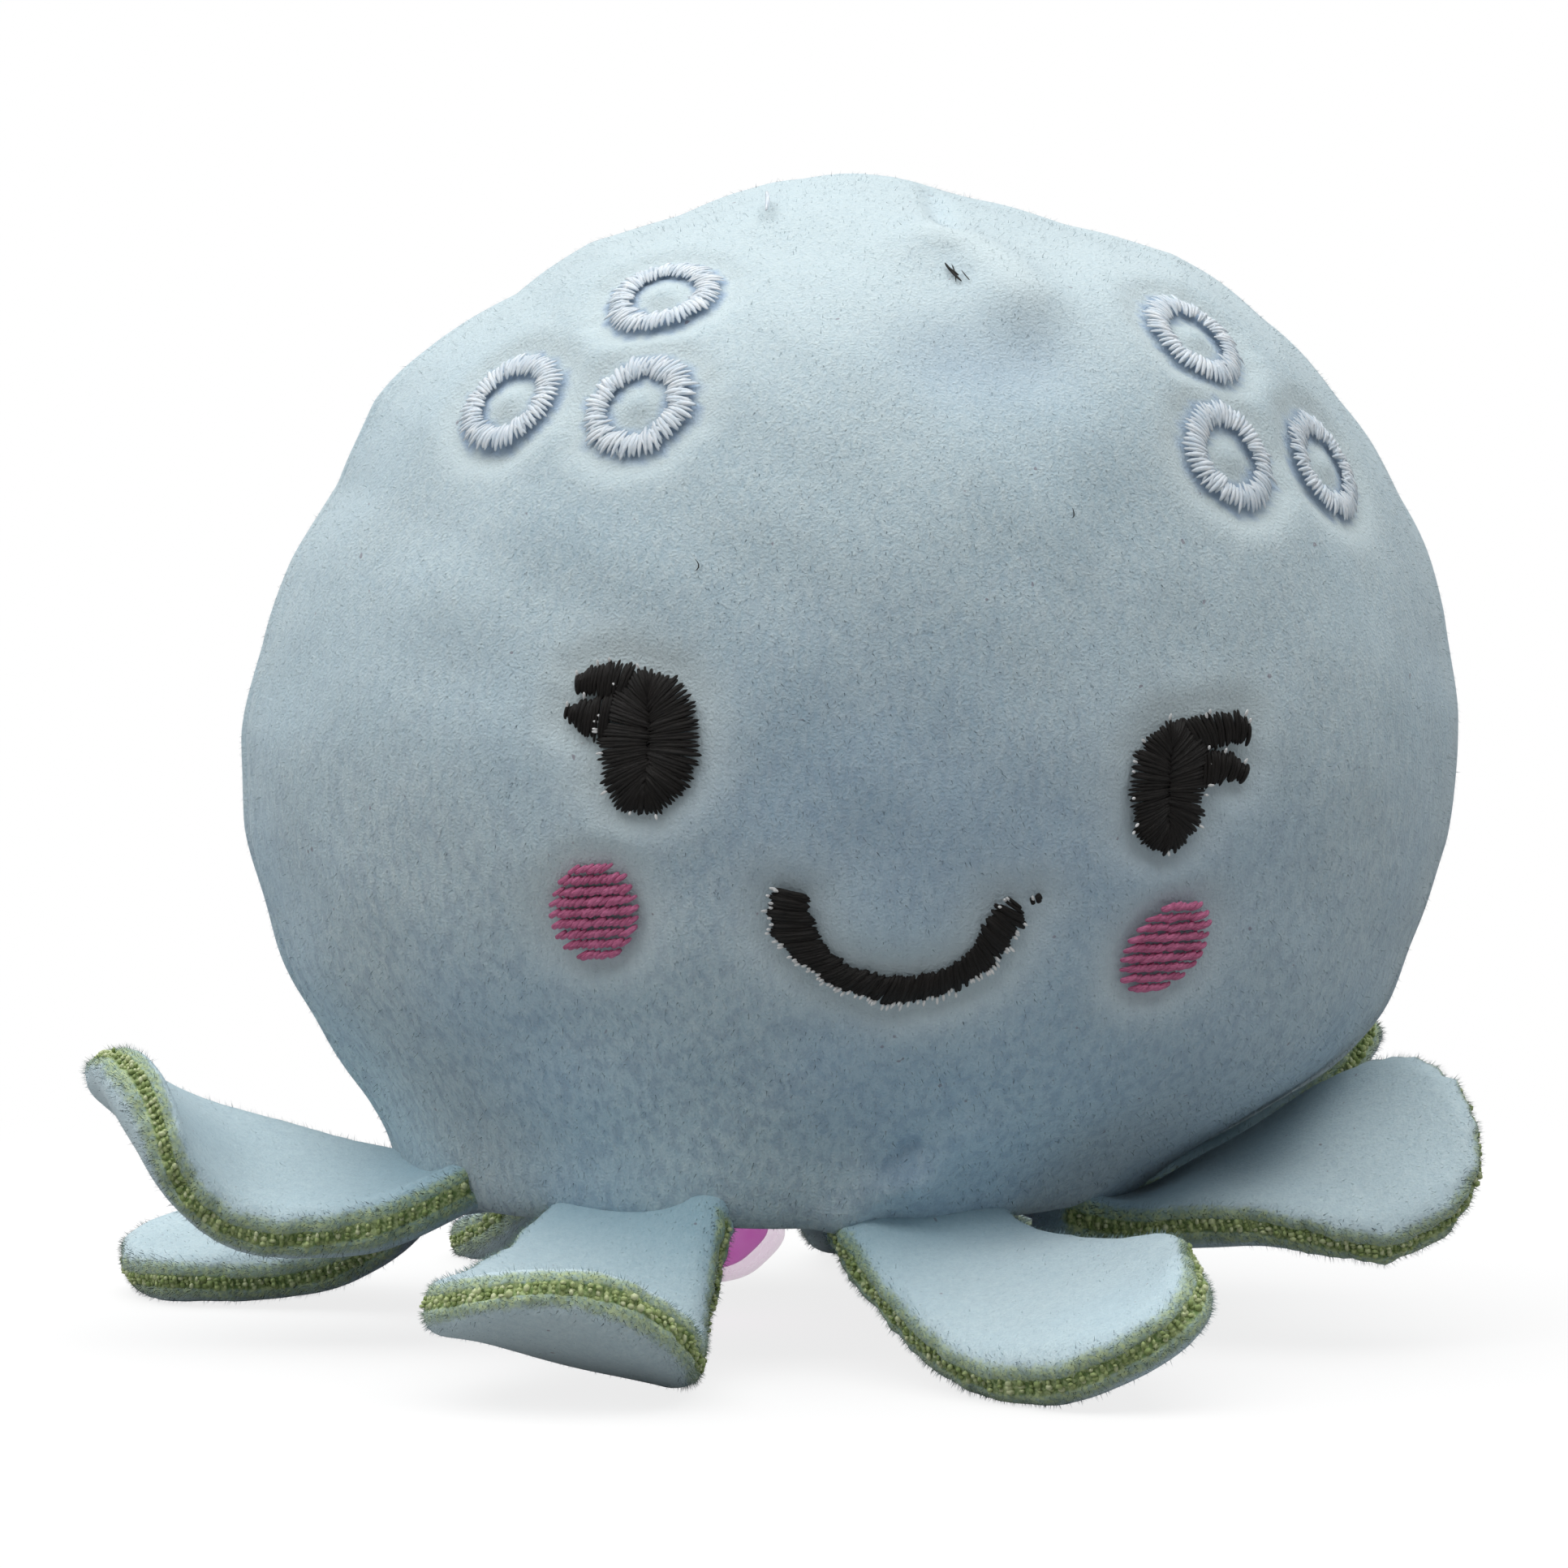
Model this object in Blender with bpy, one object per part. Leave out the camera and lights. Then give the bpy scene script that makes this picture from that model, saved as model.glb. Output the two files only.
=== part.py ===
"""Plush octopus stress ball: a plush cover round a gel ball, with eight petal legs and an embroidered face.

The toy faces -Y and stands on its legs. Every length is in metres.
"""

import math
from dataclasses import dataclass

import bmesh
import bpy
from mathutils import Matrix, Vector
from mathutils.bvhtree import BVHTree

CLEARANCE = 0.0003

# Cover: two body panels above a round seam, and a base panel under it
BODY_WIDTH = 0.0821
BODY_DEPTH = 0.0720
BODY_HEIGHT = 0.0676
SEAM_HEIGHT = 0.0105
SEAM_RADIUS = 0.0240
SEAM_TILT = math.radians(2.9)
BODY_LEAN = 0.0059
PLUSH_THICKNESS = 0.0024
SIDE_SEAM_Y = -0.0030
PUCKER_HEIGHT = 0.0022
PUCKER_RADIUS = 0.0045
PUCKER_PLACE = (0.285, 0.851)
PUCKER_REACH = 2.5 * PUCKER_RADIUS

# Base panel and its round opening
BASE_RADIUS = 0.0215
BASE_SAG = 0.0030
OPENING_RADIUS = 0.0046
OPENING_SHIFT = -0.0040

# Squeeze ball: what shows of it under the opening
BULGE_RADIUS = 0.0052
BULGE_DROP = 0.0042
BULGE_STEPS = ((0.94, 0.28), (1.0, 0.50), (0.80, 0.84), (0.42, 1.0))

# Legs
LEG_COUNT = 8
LEG_RING_RADIUS = 0.0223
LEG_RING_TURN = math.radians(-4.0)
LEG_LENGTH = 0.0272
LEG_ROOT_WIDTH = 0.0126
LEG_WIDTH = 0.0170
LEG_TIP_LENGTH = 0.0075
LEG_THICKNESS = 0.0038
LEG_EDGE_BEVEL = 0.0011
LEG_TIP_CUT = 0.985
LEG_ROW_SPREAD = 0.94

# Embroidery
THREAD_HEIGHT = 0.0006
THREAD_GAP = 0.0005
DROP_HEIGHT = 4 * PLUSH_THICKNESS
RING_RADIUS = 0.0036
RING_BAND = 0.0015
CHEEK_WIDTH = 0.0056
CHEEK_HEIGHT = 0.0062
MOUTH_WIDTH = 0.0138
MOUTH_DROP = 0.0055
MOUTH_STROKE = 0.0020

# Facets
BODY_SEGMENTS = 44
BODY_RINGS = 17
BASE_RINGS = 3
LEG_ROWS = 12
LEG_COLUMNS = 4

# Body outline above the seam: share of the height, of the half width, of the half depth, of the lean
BODY_OUTLINE = (
    (0.057, 0.704, 0.750, 0.37),
    (0.135, 0.856, 0.868, 0.85),
    (0.235, 0.940, 0.945, 0.95),
    (0.400, 1.000, 1.000, 1.00),
    (0.530, 0.980, 0.985, 1.04),
    (0.660, 0.908, 0.915, 1.12),
    (0.790, 0.781, 0.785, 1.14),
    (0.880, 0.613, 0.615, 1.18),
    (0.945, 0.398, 0.405, 1.15),
    (0.985, 0.195, 0.200, 1.02),
)
CROWN_LEAN = 0.98
LEVEL_FROM = 0.3

# Eye outline, as shares of the eye's width and height from its middle; the lashes point outwards
EYE_WIDTH = 0.0060
EYE_HEIGHT = 0.0083
EYE_OUTLINE = (
    (-0.06, 0.49), (0.24, 0.44), (0.42, 0.32), (0.50, 0.11), (0.51, -0.08), (0.45, -0.23),
    (0.34, -0.37), (0.14, -0.47), (-0.10, -0.50), (-0.34, -0.45), (-0.46, -0.28), (-0.50, -0.08),
    (-0.62, 0.03), (-0.82, 0.11), (-0.90, 0.22), (-0.78, 0.27), (-0.50, 0.31), (-0.76, 0.36),
    (-0.79, 0.47), (-0.58, 0.55), (-0.32, 0.54),
)


@dataclass(frozen=True)
class LegPose:
    """Four angles in degrees from a leg's root to its tip, each for climb, turn to the side and roll."""

    name: str
    climb: tuple
    turn: tuple
    roll: tuple


# In order round the seam, from the leg at the toy's left front
LEG_POSES = (
    LegPose("leg_front_left", (-33, -28, 21, 32), (-22, 24, 8, 7), (6, -24, -20, 0)),
    LegPose("leg_front_right", (-17, -13, -12, 41), (0, 19, -4, 50), (-1, 11, 37, 17)),
    LegPose("leg_right_raised", (-4, 51, -1, -5), (9, 20, -17, 14), (-3, -8, 47, 47)),
    LegPose("leg_back_right_curled", (3, 22, 43, 48), (-2, -12, -10, -6), (2, 5, -8, -5)),
    LegPose("leg_back_inner", (-32, -24, 2, 0), (0, 4, 6, 4), (3, -6, 5, 4)),
    LegPose("leg_back_outer", (-34, -28, 0, 3), (0, -14, -16, -14), (-3, 7, -5, -6)),
    LegPose("leg_back_left", (-36, -4, -7, -16), (-10, -5, -7, 21), (-10, -50, 1, -11)),
    LegPose("leg_left_curled", (0, -12, 38, 68), (-13, -63, -10, 5), (7, -35, -11, -6)),
)


@dataclass(frozen=True)
class Patch:
    """Where an embroidered patch sits on the front, in shares of the body's half width and height, and its tilt."""

    name: str
    across: float
    up: float
    tilt: float = 0.0


EYES = (Patch("eye_left", -0.278, 0.439), Patch("eye_right", 0.516, 0.399))
MOUTH = Patch("mouth", 0.095, 0.2485, -5.0)
CHEEKS = (Patch("cheek_left", -0.356, 0.2825), Patch("cheek_right", 0.526, 0.247, -18.0))
RINGS = (
    Patch("ring_left_upper", -0.222, 0.8625),
    Patch("ring_left_outer", -0.463, 0.762),
    Patch("ring_left_inner", -0.278, 0.753),
    Patch("ring_right_upper", 0.626, 0.824),
    Patch("ring_right_inner", 0.653, 0.7085),
    Patch("ring_right_outer", 0.8355, 0.701),
)


def clear_scene():
    """Removes whatever the scene starts with."""
    for obj in list(bpy.data.objects):
        bpy.data.objects.remove(obj, do_unlink=True)


def make_material(name, color, roughness):
    """Gives a plain material with the part's colour."""
    material = bpy.data.materials.new(name)
    material.use_nodes = True
    shader = material.node_tree.nodes["Principled BSDF"]
    shader.inputs["Base Color"].default_value = (*color, 1.0)
    shader.inputs["Roughness"].default_value = roughness
    shader.inputs["Metallic"].default_value = 0.0
    return material


def make_object(name, bm, material=None):
    """Turns a bmesh into a smooth-shaded object of the scene."""
    mesh = bpy.data.meshes.new(name)
    bm.to_mesh(mesh)
    bm.free()
    mesh.shade_smooth()
    mesh.set_sharp_from_angle(angle=math.radians(40.0))
    obj = bpy.data.objects.new(name, mesh)
    bpy.context.scene.collection.objects.link(obj)
    if material:
        mesh.materials.append(material)
    return obj


def smooth_rows(rows, steps):
    """Passes a smooth curve through rows of numbers and reads it at evenly spread places."""
    before = [2.0 * a - b for a, b in zip(rows[0], rows[1])]
    after = [2.0 * a - b for a, b in zip(rows[-1], rows[-2])]
    padded = [before, *rows, after]
    spans = len(rows) - 1
    result = []
    for step in range(steps + 1):
        place = step / steps * spans
        span = min(int(place), spans - 1)
        t = place - span
        p0, p1, p2, p3 = padded[span : span + 4]
        result.append(
            tuple(
                0.5 * (2 * b + (c - a) * t + (2 * a - 5 * b + 4 * c - d) * t**2 + (3 * b - a - 3 * c + d) * t**3)
                for a, b, c, d in zip(p0, p1, p2, p3)
            )
        )
    return result


def body_rings():
    """Gives the body's sections from the seam up: (middle x, half width, half depth, height, tilt)."""
    rows = [(0.0, SEAM_RADIUS, SEAM_RADIUS, SEAM_HEIGHT, SEAM_TILT)]
    for height, width, depth, lean in BODY_OUTLINE:
        rows.append(
            (
                BODY_LEAN * lean,
                BODY_WIDTH / 2 * width,
                BODY_DEPTH / 2 * depth,
                SEAM_HEIGHT + BODY_HEIGHT * height,
                SEAM_TILT * max(0.0, 1.0 - height / LEVEL_FROM),
            )
        )
    return smooth_rows(rows, BODY_RINGS)


def base_height(radius):
    """Gives how high the base panel's underside is at a radius, as it sags towards the middle."""
    share = min(radius / BASE_RADIUS, 1.0)
    return SEAM_HEIGHT - BASE_SAG * (1.0 - share**2)


def base_rings(inner_radius, outer_radius):
    """Gives the underside's sections from the opening outwards."""
    rings = []
    for step in range(BASE_RINGS + 1):
        share = step / BASE_RINGS
        radius = inner_radius + (outer_radius - inner_radius) * share
        middle_x = OPENING_SHIFT * max(0.0, 1.0 - radius / BASE_RADIUS)
        rings.append((middle_x, radius, radius, base_height(radius), SEAM_TILT))
    return rings


def loft(bm, rings, closed=False):
    """Joins elliptical rings with a skin and returns the edges of each ring."""
    loops = []
    for middle_x, half_width, half_depth, height, tilt in rings:
        place = Matrix.Translation((middle_x, 0.0, height)) @ Matrix.Rotation(tilt, 4, "Y")
        place = place @ Matrix.Diagonal((half_width, half_depth, 1.0, 1.0))
        made = bmesh.ops.create_circle(bm, segments=BODY_SEGMENTS, radius=1.0, matrix=place)
        loops.append(list({edge for vert in made["verts"] for edge in vert.link_edges}))
    pairs = list(zip(loops, loops[1:]))
    if closed:
        pairs.append((loops[-1], loops[0]))
    for lower, upper in pairs:
        bmesh.ops.bridge_loops(bm, edges=lower + upper)
    return loops


def close_crown(bm, top_edges):
    """Closes the crown with a fan round one raised point."""
    cap = bmesh.ops.contextual_create(bm, geom=top_edges)["faces"]
    middle = bmesh.ops.poke(bm, faces=cap)["verts"][0]
    middle.co = Vector((BODY_LEAN * CROWN_LEAN, 0.0, SEAM_HEIGHT + BODY_HEIGHT))


def find_on_front(tree, across, up):
    """Finds a place on the front, given in shares of the body's half width and height, and its normal."""
    origin = Vector((BODY_WIDTH / 2 * across, -BODY_DEPTH, SEAM_HEIGHT + BODY_HEIGHT * up))
    return tree.ray_cast(origin, Vector((0.0, 1.0, 0.0)))[:2]


def raise_pucker(bm):
    """Pushes the body out where the crown's dart ends in a small lump."""
    bm.normal_update()
    centre = find_on_front(BVHTree.FromBMesh(bm), *PUCKER_PLACE)[0]
    for vert in bm.verts:
        distance = (vert.co - centre).length
        if distance < PUCKER_REACH:
            vert.co += vert.normal * PUCKER_HEIGHT * math.exp(-((distance / PUCKER_RADIUS) ** 2))


def body_form(inner_radius=None):
    """Builds the cover's outer form; with an inner radius its underside is closed as well."""
    bm = bmesh.new()
    rings = body_rings()
    if inner_radius:
        rings = base_rings(inner_radius, BASE_RADIUS) + rings
    loops = loft(bm, rings)
    close_crown(bm, loops[-1])
    if inner_radius:
        bmesh.ops.contextual_create(bm, geom=loops[0])
    bmesh.ops.recalc_face_normals(bm, faces=bm.faces)
    raise_pucker(bm)
    bm.normal_update()
    return bm


def add_wall(obj, thickness, offset):
    """Gives a sheet its thickness: offset -1 is inwards and 1 is outwards."""
    wall = obj.modifiers.new("wall", "SOLIDIFY")
    wall.thickness = thickness
    wall.offset = offset
    return wall


def build_panel(name, front, material):
    """Cuts one half of the cover at the side seam and gives it the plush's thickness."""
    bm = body_form()
    facing = -1.0 if front else 1.0
    cut = Vector((0.0, SIDE_SEAM_Y + facing * CLEARANCE / 2, 0.0))
    geometry = bm.verts[:] + bm.edges[:] + bm.faces[:]
    bmesh.ops.bisect_plane(bm, geom=geometry, plane_co=cut, plane_no=(0.0, -facing, 0.0), clear_outer=True)
    panel = make_object(name, bm, material)
    add_wall(panel, PLUSH_THICKNESS, -1.0)
    return panel


def build_base_panel(material):
    """Builds the round underside with its opening."""
    lower = base_rings(OPENING_RADIUS, BASE_RADIUS)
    upper = [(x, wide, deep, z + PLUSH_THICKNESS, tilt) for x, wide, deep, z, tilt in reversed(lower)]
    bm = bmesh.new()
    loft(bm, lower + upper, closed=True)
    bmesh.ops.recalc_face_normals(bm, faces=bm.faces)
    return make_object("base_panel", bm, material)


def build_ball(material):
    """Builds the gel ball that fills the cover and bulges out of the opening."""
    neck = OPENING_RADIUS - CLEARANCE
    bm = body_form(neck)
    inset = PLUSH_THICKNESS + 1.5 * CLEARANCE
    for vert in bm.verts:
        vert.co -= vert.normal * inset
    cap = max(bm.faces, key=lambda face: len(face.verts))
    opening_low = base_height(OPENING_RADIUS)
    middle = Vector((OPENING_SHIFT * (1.0 - OPENING_RADIUS / BASE_RADIUS), 0.0, 0.0))
    steps = [(neck, opening_low)]
    steps += [(BULGE_RADIUS * wide, opening_low - BULGE_DROP * down) for wide, down in BULGE_STEPS]
    for radius, height in steps:
        cap = bmesh.ops.extrude_discrete_faces(bm, faces=[cap])["faces"][0]
        for vert in cap.verts:
            outwards = (vert.co - middle).xy.normalized()
            vert.co = middle + Vector((outwards.x * radius, outwards.y * radius, height))
    return make_object("squeeze_ball", bm, material)


def blend(values, share):
    """Reads a Bezier curve of four values, from a leg's root to its tip."""
    root, first, second, tip = values
    rest = 1.0 - share
    return root * rest**3 + 3 * first * share * rest**2 + 3 * second * share**2 * rest + tip * share**3


def leg_half_width(share):
    """Gives a leg's half width along its length: a petal with a round tip."""
    widest = 1.0 - LEG_TIP_LENGTH / LEG_LENGTH
    if share > widest:
        past = (share - widest) / (1.0 - widest)
        return LEG_WIDTH / 2 * math.sqrt(max(0.0, 1.0 - past**2))
    rise = share / widest
    return (LEG_ROOT_WIDTH + (LEG_WIDTH - LEG_ROOT_WIDTH) * rise**2 * (3 - 2 * rise)) / 2


def leg_frames(pose, angle, steps=60):
    """Walks along a posed leg's middle line: (place, across, upwards) at even steps."""
    place = Vector((math.sin(angle) * LEG_RING_RADIUS, -math.cos(angle) * LEG_RING_RADIUS, 0.0))
    place.z = SEAM_HEIGHT - CLEARANCE - LEG_THICKNESS / 2 - place.x * math.tan(SEAM_TILT)
    frames = []
    for step in range(steps + 1):
        share = step / steps
        heading = angle + math.radians(blend(pose.turn, share))
        climb = math.radians(blend(pose.climb, share))
        level = Vector((math.sin(heading), -math.cos(heading), 0.0))
        along = level * math.cos(climb) + Vector((0.0, 0.0, math.sin(climb)))
        across = Vector((math.cos(heading), math.sin(heading), 0.0))
        twist = Matrix.Rotation(math.radians(blend(pose.roll, share)), 3, along)
        across = twist @ across
        frames.append((place.copy(), across, across.cross(along) * -1.0))
        place = place + along * (LEG_LENGTH / steps)
    return frames


def build_leg(pose, angle, material):
    """Models a leg flat, as it was cut, and then bends it into its pose."""
    bm = bmesh.new()
    bmesh.ops.create_grid(bm, x_segments=LEG_ROWS, y_segments=LEG_COLUMNS, size=0.5)
    for vert in bm.verts:
        turn = math.pi / 2 * LEG_ROW_SPREAD
        share = LEG_TIP_CUT * math.sin((vert.co.x + 0.5) * turn) / math.sin(turn)
        vert.co = Vector((share * LEG_LENGTH, vert.co.y * 2.0 * leg_half_width(share), -LEG_THICKNESS / 2))
    raised = bmesh.ops.extrude_face_region(bm, geom=bm.faces[:])["geom"]
    tops = [part for part in raised if isinstance(part, bmesh.types.BMVert)]
    bmesh.ops.translate(bm, verts=tops, vec=(0.0, 0.0, LEG_THICKNESS))
    bmesh.ops.recalc_face_normals(bm, faces=bm.faces)
    rim = [edge for edge in bm.edges if edge.calc_face_angle(0.0) > math.radians(60.0)]
    flat_rim = [edge for edge in rim if abs(edge.verts[0].co.z - edge.verts[1].co.z) < CLEARANCE]
    bmesh.ops.bevel(
        bm, geom=flat_rim, offset=LEG_EDGE_BEVEL, affect="EDGES", segments=1, profile=0.5, material=-1
    )
    frames = leg_frames(pose, angle)
    for vert in bm.verts:
        reach = min(max(vert.co.x / LEG_LENGTH, 0.0), 1.0) * (len(frames) - 1)
        first = min(int(reach), len(frames) - 2)
        mix = reach - first
        place, across, up = (a.lerp(b, mix) for a, b in zip(frames[first], frames[first + 1]))
        vert.co = place + across.normalized() * vert.co.y + up.normalized() * vert.co.z
    for vert in bm.verts:
        vert.co.z = max(vert.co.z, 0.0)
    bm.normal_update()
    return make_object(pose.name, bm, material)


def build_legs(material):
    """Builds the legs round the seam, one for each pose."""
    for index, pose in enumerate(LEG_POSES):
        angle = (index - 0.5) * 2 * math.pi / LEG_COUNT + LEG_RING_TURN
        build_leg(pose, angle, material)


def lay_on_body(bm, patch, tree):
    """Moves a flat patch, drawn round the origin in x and y, onto the front of the body."""
    centre, normal = find_on_front(tree, patch.across, patch.up)
    right = Vector((0.0, 0.0, 1.0)).cross(normal * -1.0).normalized() * -1.0
    right = Matrix.Rotation(math.radians(patch.tilt), 3, normal) @ right
    upwards = normal.cross(right)
    for vert in bm.verts:
        above = centre + right * vert.co.x + upwards * vert.co.y + normal * DROP_HEIGHT
        hit, facing = tree.ray_cast(above, normal * -1.0)[:2]
        vert.co = hit + facing * THREAD_GAP
    bmesh.ops.recalc_face_normals(bm, faces=bm.faces)
    if sum(face.normal.dot(normal) for face in bm.faces) < 0.0:
        bmesh.ops.reverse_faces(bm, faces=bm.faces)


def finish_patch(bm, patch, tree, material):
    """Lays a patch on the body and gives it the height of its thread."""
    lay_on_body(bm, patch, tree)
    obj = make_object(patch.name, bm, material)
    add_wall(obj, THREAD_HEIGHT, 1.0)


def build_eye(patch, side, tree, material):
    """Builds an eye with two lashes; side is 1 where the lashes point left and -1 where they point right."""
    bm = bmesh.new()
    corners = [bm.verts.new((x * EYE_WIDTH * side, y * EYE_HEIGHT, 0.0)) for x, y in EYE_OUTLINE]
    face = bm.faces.new(corners)
    face.normal_update()
    bmesh.ops.triangulate(bm, faces=[face])
    bmesh.ops.subdivide_edges(bm, edges=bm.edges[:], cuts=1, use_grid_fill=True)
    finish_patch(bm, patch, tree, material)


def build_mouth(patch, tree, material):
    """Builds the smile: a satin stroke along an arc."""
    bm = bmesh.new()
    bmesh.ops.create_grid(bm, x_segments=18, y_segments=2, size=0.5)
    half_angle = 2.0 * math.atan2(MOUTH_DROP, MOUTH_WIDTH / 2)
    radius = MOUTH_WIDTH / 2 / math.sin(half_angle)
    for vert in bm.verts:
        angle = vert.co.x * 2.0 * half_angle
        reach = radius + vert.co.y * MOUTH_STROKE
        vert.co = Vector((math.sin(angle) * reach, radius - MOUTH_DROP / 2 - math.cos(angle) * reach, 0.0))
    finish_patch(bm, patch, tree, material)


def build_cheek(patch, tree, material):
    """Builds a filled oval cheek."""
    bm = bmesh.new()
    bmesh.ops.create_circle(bm, segments=20, radius=0.5, cap_ends=True)
    bmesh.ops.inset_region(bm, faces=bm.faces[:], thickness=0.18)
    bmesh.ops.poke(bm, faces=[max(bm.faces, key=lambda face: len(face.verts))])
    bmesh.ops.scale(bm, vec=(CHEEK_WIDTH, CHEEK_HEIGHT, 1.0), verts=bm.verts)
    finish_patch(bm, patch, tree, material)


def build_ring(patch, tree, material):
    """Builds a satin ring."""
    bm = bmesh.new()
    outer = bmesh.ops.create_circle(bm, segments=24, radius=RING_RADIUS)["verts"]
    inner = bmesh.ops.create_circle(bm, segments=24, radius=RING_RADIUS - RING_BAND)["verts"]
    edges = list({edge for vert in outer + inner for edge in vert.link_edges})
    bmesh.ops.bridge_loops(bm, edges=edges)
    finish_patch(bm, patch, tree, material)


def build_face(black, pink, white):
    """Sews the eyes, mouth, cheeks and rings onto the front panel."""
    form = body_form()
    tree = BVHTree.FromBMesh(form)
    build_eye(EYES[0], 1.0, tree, black)
    build_eye(EYES[1], -1.0, tree, black)
    build_mouth(MOUTH, tree, black)
    for patch in CHEEKS:
        build_cheek(patch, tree, pink)
    for patch in RINGS:
        build_ring(patch, tree, white)
    form.free()


def centre_on_floor():
    """Moves the toy so that the middle of its footprint is at the origin."""
    bpy.context.view_layer.update()
    depsgraph = bpy.context.evaluated_depsgraph_get()
    corners = []
    for obj in bpy.data.objects:
        evaluated = obj.evaluated_get(depsgraph)
        corners.extend(evaluated.matrix_world @ Vector(corner) for corner in evaluated.bound_box)
    middle_x = (min(c.x for c in corners) + max(c.x for c in corners)) / 2
    middle_y = (min(c.y for c in corners) + max(c.y for c in corners)) / 2
    for obj in bpy.data.objects:
        obj.location = (-middle_x, -middle_y, 0.0)


def main():
    """Builds the whole toy."""
    clear_scene()
    plush = make_material("pale_blue_plush", (0.50, 0.66, 0.74), 0.95)
    gel = make_material("pink_gel", (0.80, 0.25, 0.62), 0.25)
    black = make_material("black_thread", (0.012, 0.010, 0.010), 0.6)
    pink = make_material("pink_thread", (0.52, 0.07, 0.24), 0.5)
    white = make_material("pale_thread", (0.72, 0.84, 0.92), 0.4)
    build_panel("front_panel", True, plush)
    build_panel("back_panel", False, plush)
    build_base_panel(plush)
    build_ball(gel)
    build_legs(plush)
    build_face(black, pink, white)
    centre_on_floor()


main()
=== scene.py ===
"""Dresses the plush octopus stress ball: pile, stitched face, singed leg edges and gel, with light and camera."""

import logging
import math
from dataclasses import dataclass, field
from enum import Enum
from typing import Callable, Sequence

import bmesh
import bpy
import numpy as np
from mathutils import Matrix, Vector
from mathutils.bvhtree import BVHTree
from mathutils.kdtree import KDTree


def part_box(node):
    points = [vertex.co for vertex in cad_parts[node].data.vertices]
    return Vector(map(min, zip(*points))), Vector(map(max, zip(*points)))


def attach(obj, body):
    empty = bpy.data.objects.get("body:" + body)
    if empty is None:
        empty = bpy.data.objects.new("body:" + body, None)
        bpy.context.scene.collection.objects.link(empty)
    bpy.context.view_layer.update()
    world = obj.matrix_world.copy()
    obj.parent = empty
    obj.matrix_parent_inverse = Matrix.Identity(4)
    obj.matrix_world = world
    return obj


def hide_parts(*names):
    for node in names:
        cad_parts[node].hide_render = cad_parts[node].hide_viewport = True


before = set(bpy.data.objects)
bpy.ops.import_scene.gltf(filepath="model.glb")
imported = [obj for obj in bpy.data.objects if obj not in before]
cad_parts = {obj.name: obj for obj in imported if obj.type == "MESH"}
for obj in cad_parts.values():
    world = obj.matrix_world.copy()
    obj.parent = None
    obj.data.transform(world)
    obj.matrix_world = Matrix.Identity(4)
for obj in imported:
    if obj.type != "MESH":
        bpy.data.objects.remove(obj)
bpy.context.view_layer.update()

log = logging.getLogger("octopus")

BODY = "root"
PHOTO_SIDE = 1932
MM = 0.001
SEAM_TILT = math.radians(2.9)
FLOOR_GAP = 0.02 * MM
SHEEN_TINT = (0.80, 0.90, 0.95)
CLOUD_SCALE = 60.0

Color = tuple[float, float, float]
Points = Sequence[tuple[float, float]]


class Slot(Enum):
    """The record's material slots."""

    PLUSH = "pale_blue_plush"
    GEL = "pink_gel"
    BLACK = "black_thread"
    PINK = "pink_thread"
    PALE = "pale_thread"


class Number:
    """A shader number that takes Python's arithmetic."""

    def __init__(self, nodes: "Nodes", socket: bpy.types.NodeSocket) -> None:
        """Keeps the tree's nodes and the socket that gives the number."""
        self.nodes = nodes
        self.socket = socket

    def _math(self, operation: str, *values: object) -> "Number":
        """Adds one Math node."""
        node = self.nodes.node("ShaderNodeMath", {"operation": operation}, dict(enumerate(values)))
        return Number(self.nodes, node.outputs[0])

    def __add__(self, other: object) -> "Number":
        """Adds."""
        return self._math("ADD", self, other)

    def __radd__(self, other: object) -> "Number":
        """Adds from the left."""
        return self._math("ADD", other, self)

    def __sub__(self, other: object) -> "Number":
        """Subtracts."""
        return self._math("SUBTRACT", self, other)

    def __rsub__(self, other: object) -> "Number":
        """Subtracts from the left."""
        return self._math("SUBTRACT", other, self)

    def __mul__(self, other: object) -> "Number":
        """Multiplies."""
        return self._math("MULTIPLY", self, other)

    def __rmul__(self, other: object) -> "Number":
        """Multiplies from the left."""
        return self._math("MULTIPLY", other, self)

    def ramp(self, low: float, high: float) -> "Number":
        """Runs smoothly from 0 at low to 1 at high."""
        values = {0: self, 1: low, 2: high, 3: 0.0, 4: 1.0}
        node = self.nodes.node("ShaderNodeMapRange", {"interpolation_type": "SMOOTHSTEP"}, values)
        return Number(self.nodes, node.outputs[0])


class Nodes:
    """Adds nodes to one tree."""

    def __init__(self, tree: bpy.types.NodeTree) -> None:
        """Keeps the tree."""
        self.tree = tree

    def node(self, kind: str, settings: dict | None = None, values: dict | None = None) -> bpy.types.Node:
        """Adds a node, sets it up and fills its sockets.

        Args:
            kind: The node's type.
            settings: Properties that are set before the sockets.
            values: What each socket gets: a constant, a socket or a Number.

        Returns:
            The node.
        """
        made = self.tree.nodes.new(kind)
        for name, value in (settings or {}).items():
            setattr(made, name, value)
        for socket, value in (values or {}).items():
            self.feed(made.inputs[socket], value)
        return made

    def feed(self, socket: bpy.types.NodeSocket, value: object) -> None:
        """Gives a socket a constant or a link."""
        source = value.socket if isinstance(value, Number) else value
        if isinstance(source, bpy.types.NodeSocket):
            self.tree.links.new(source, socket)
        elif isinstance(source, tuple) and socket.type == "RGBA":
            socket.default_value = (*source[:3], 1.0)
        else:
            socket.default_value = source


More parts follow.
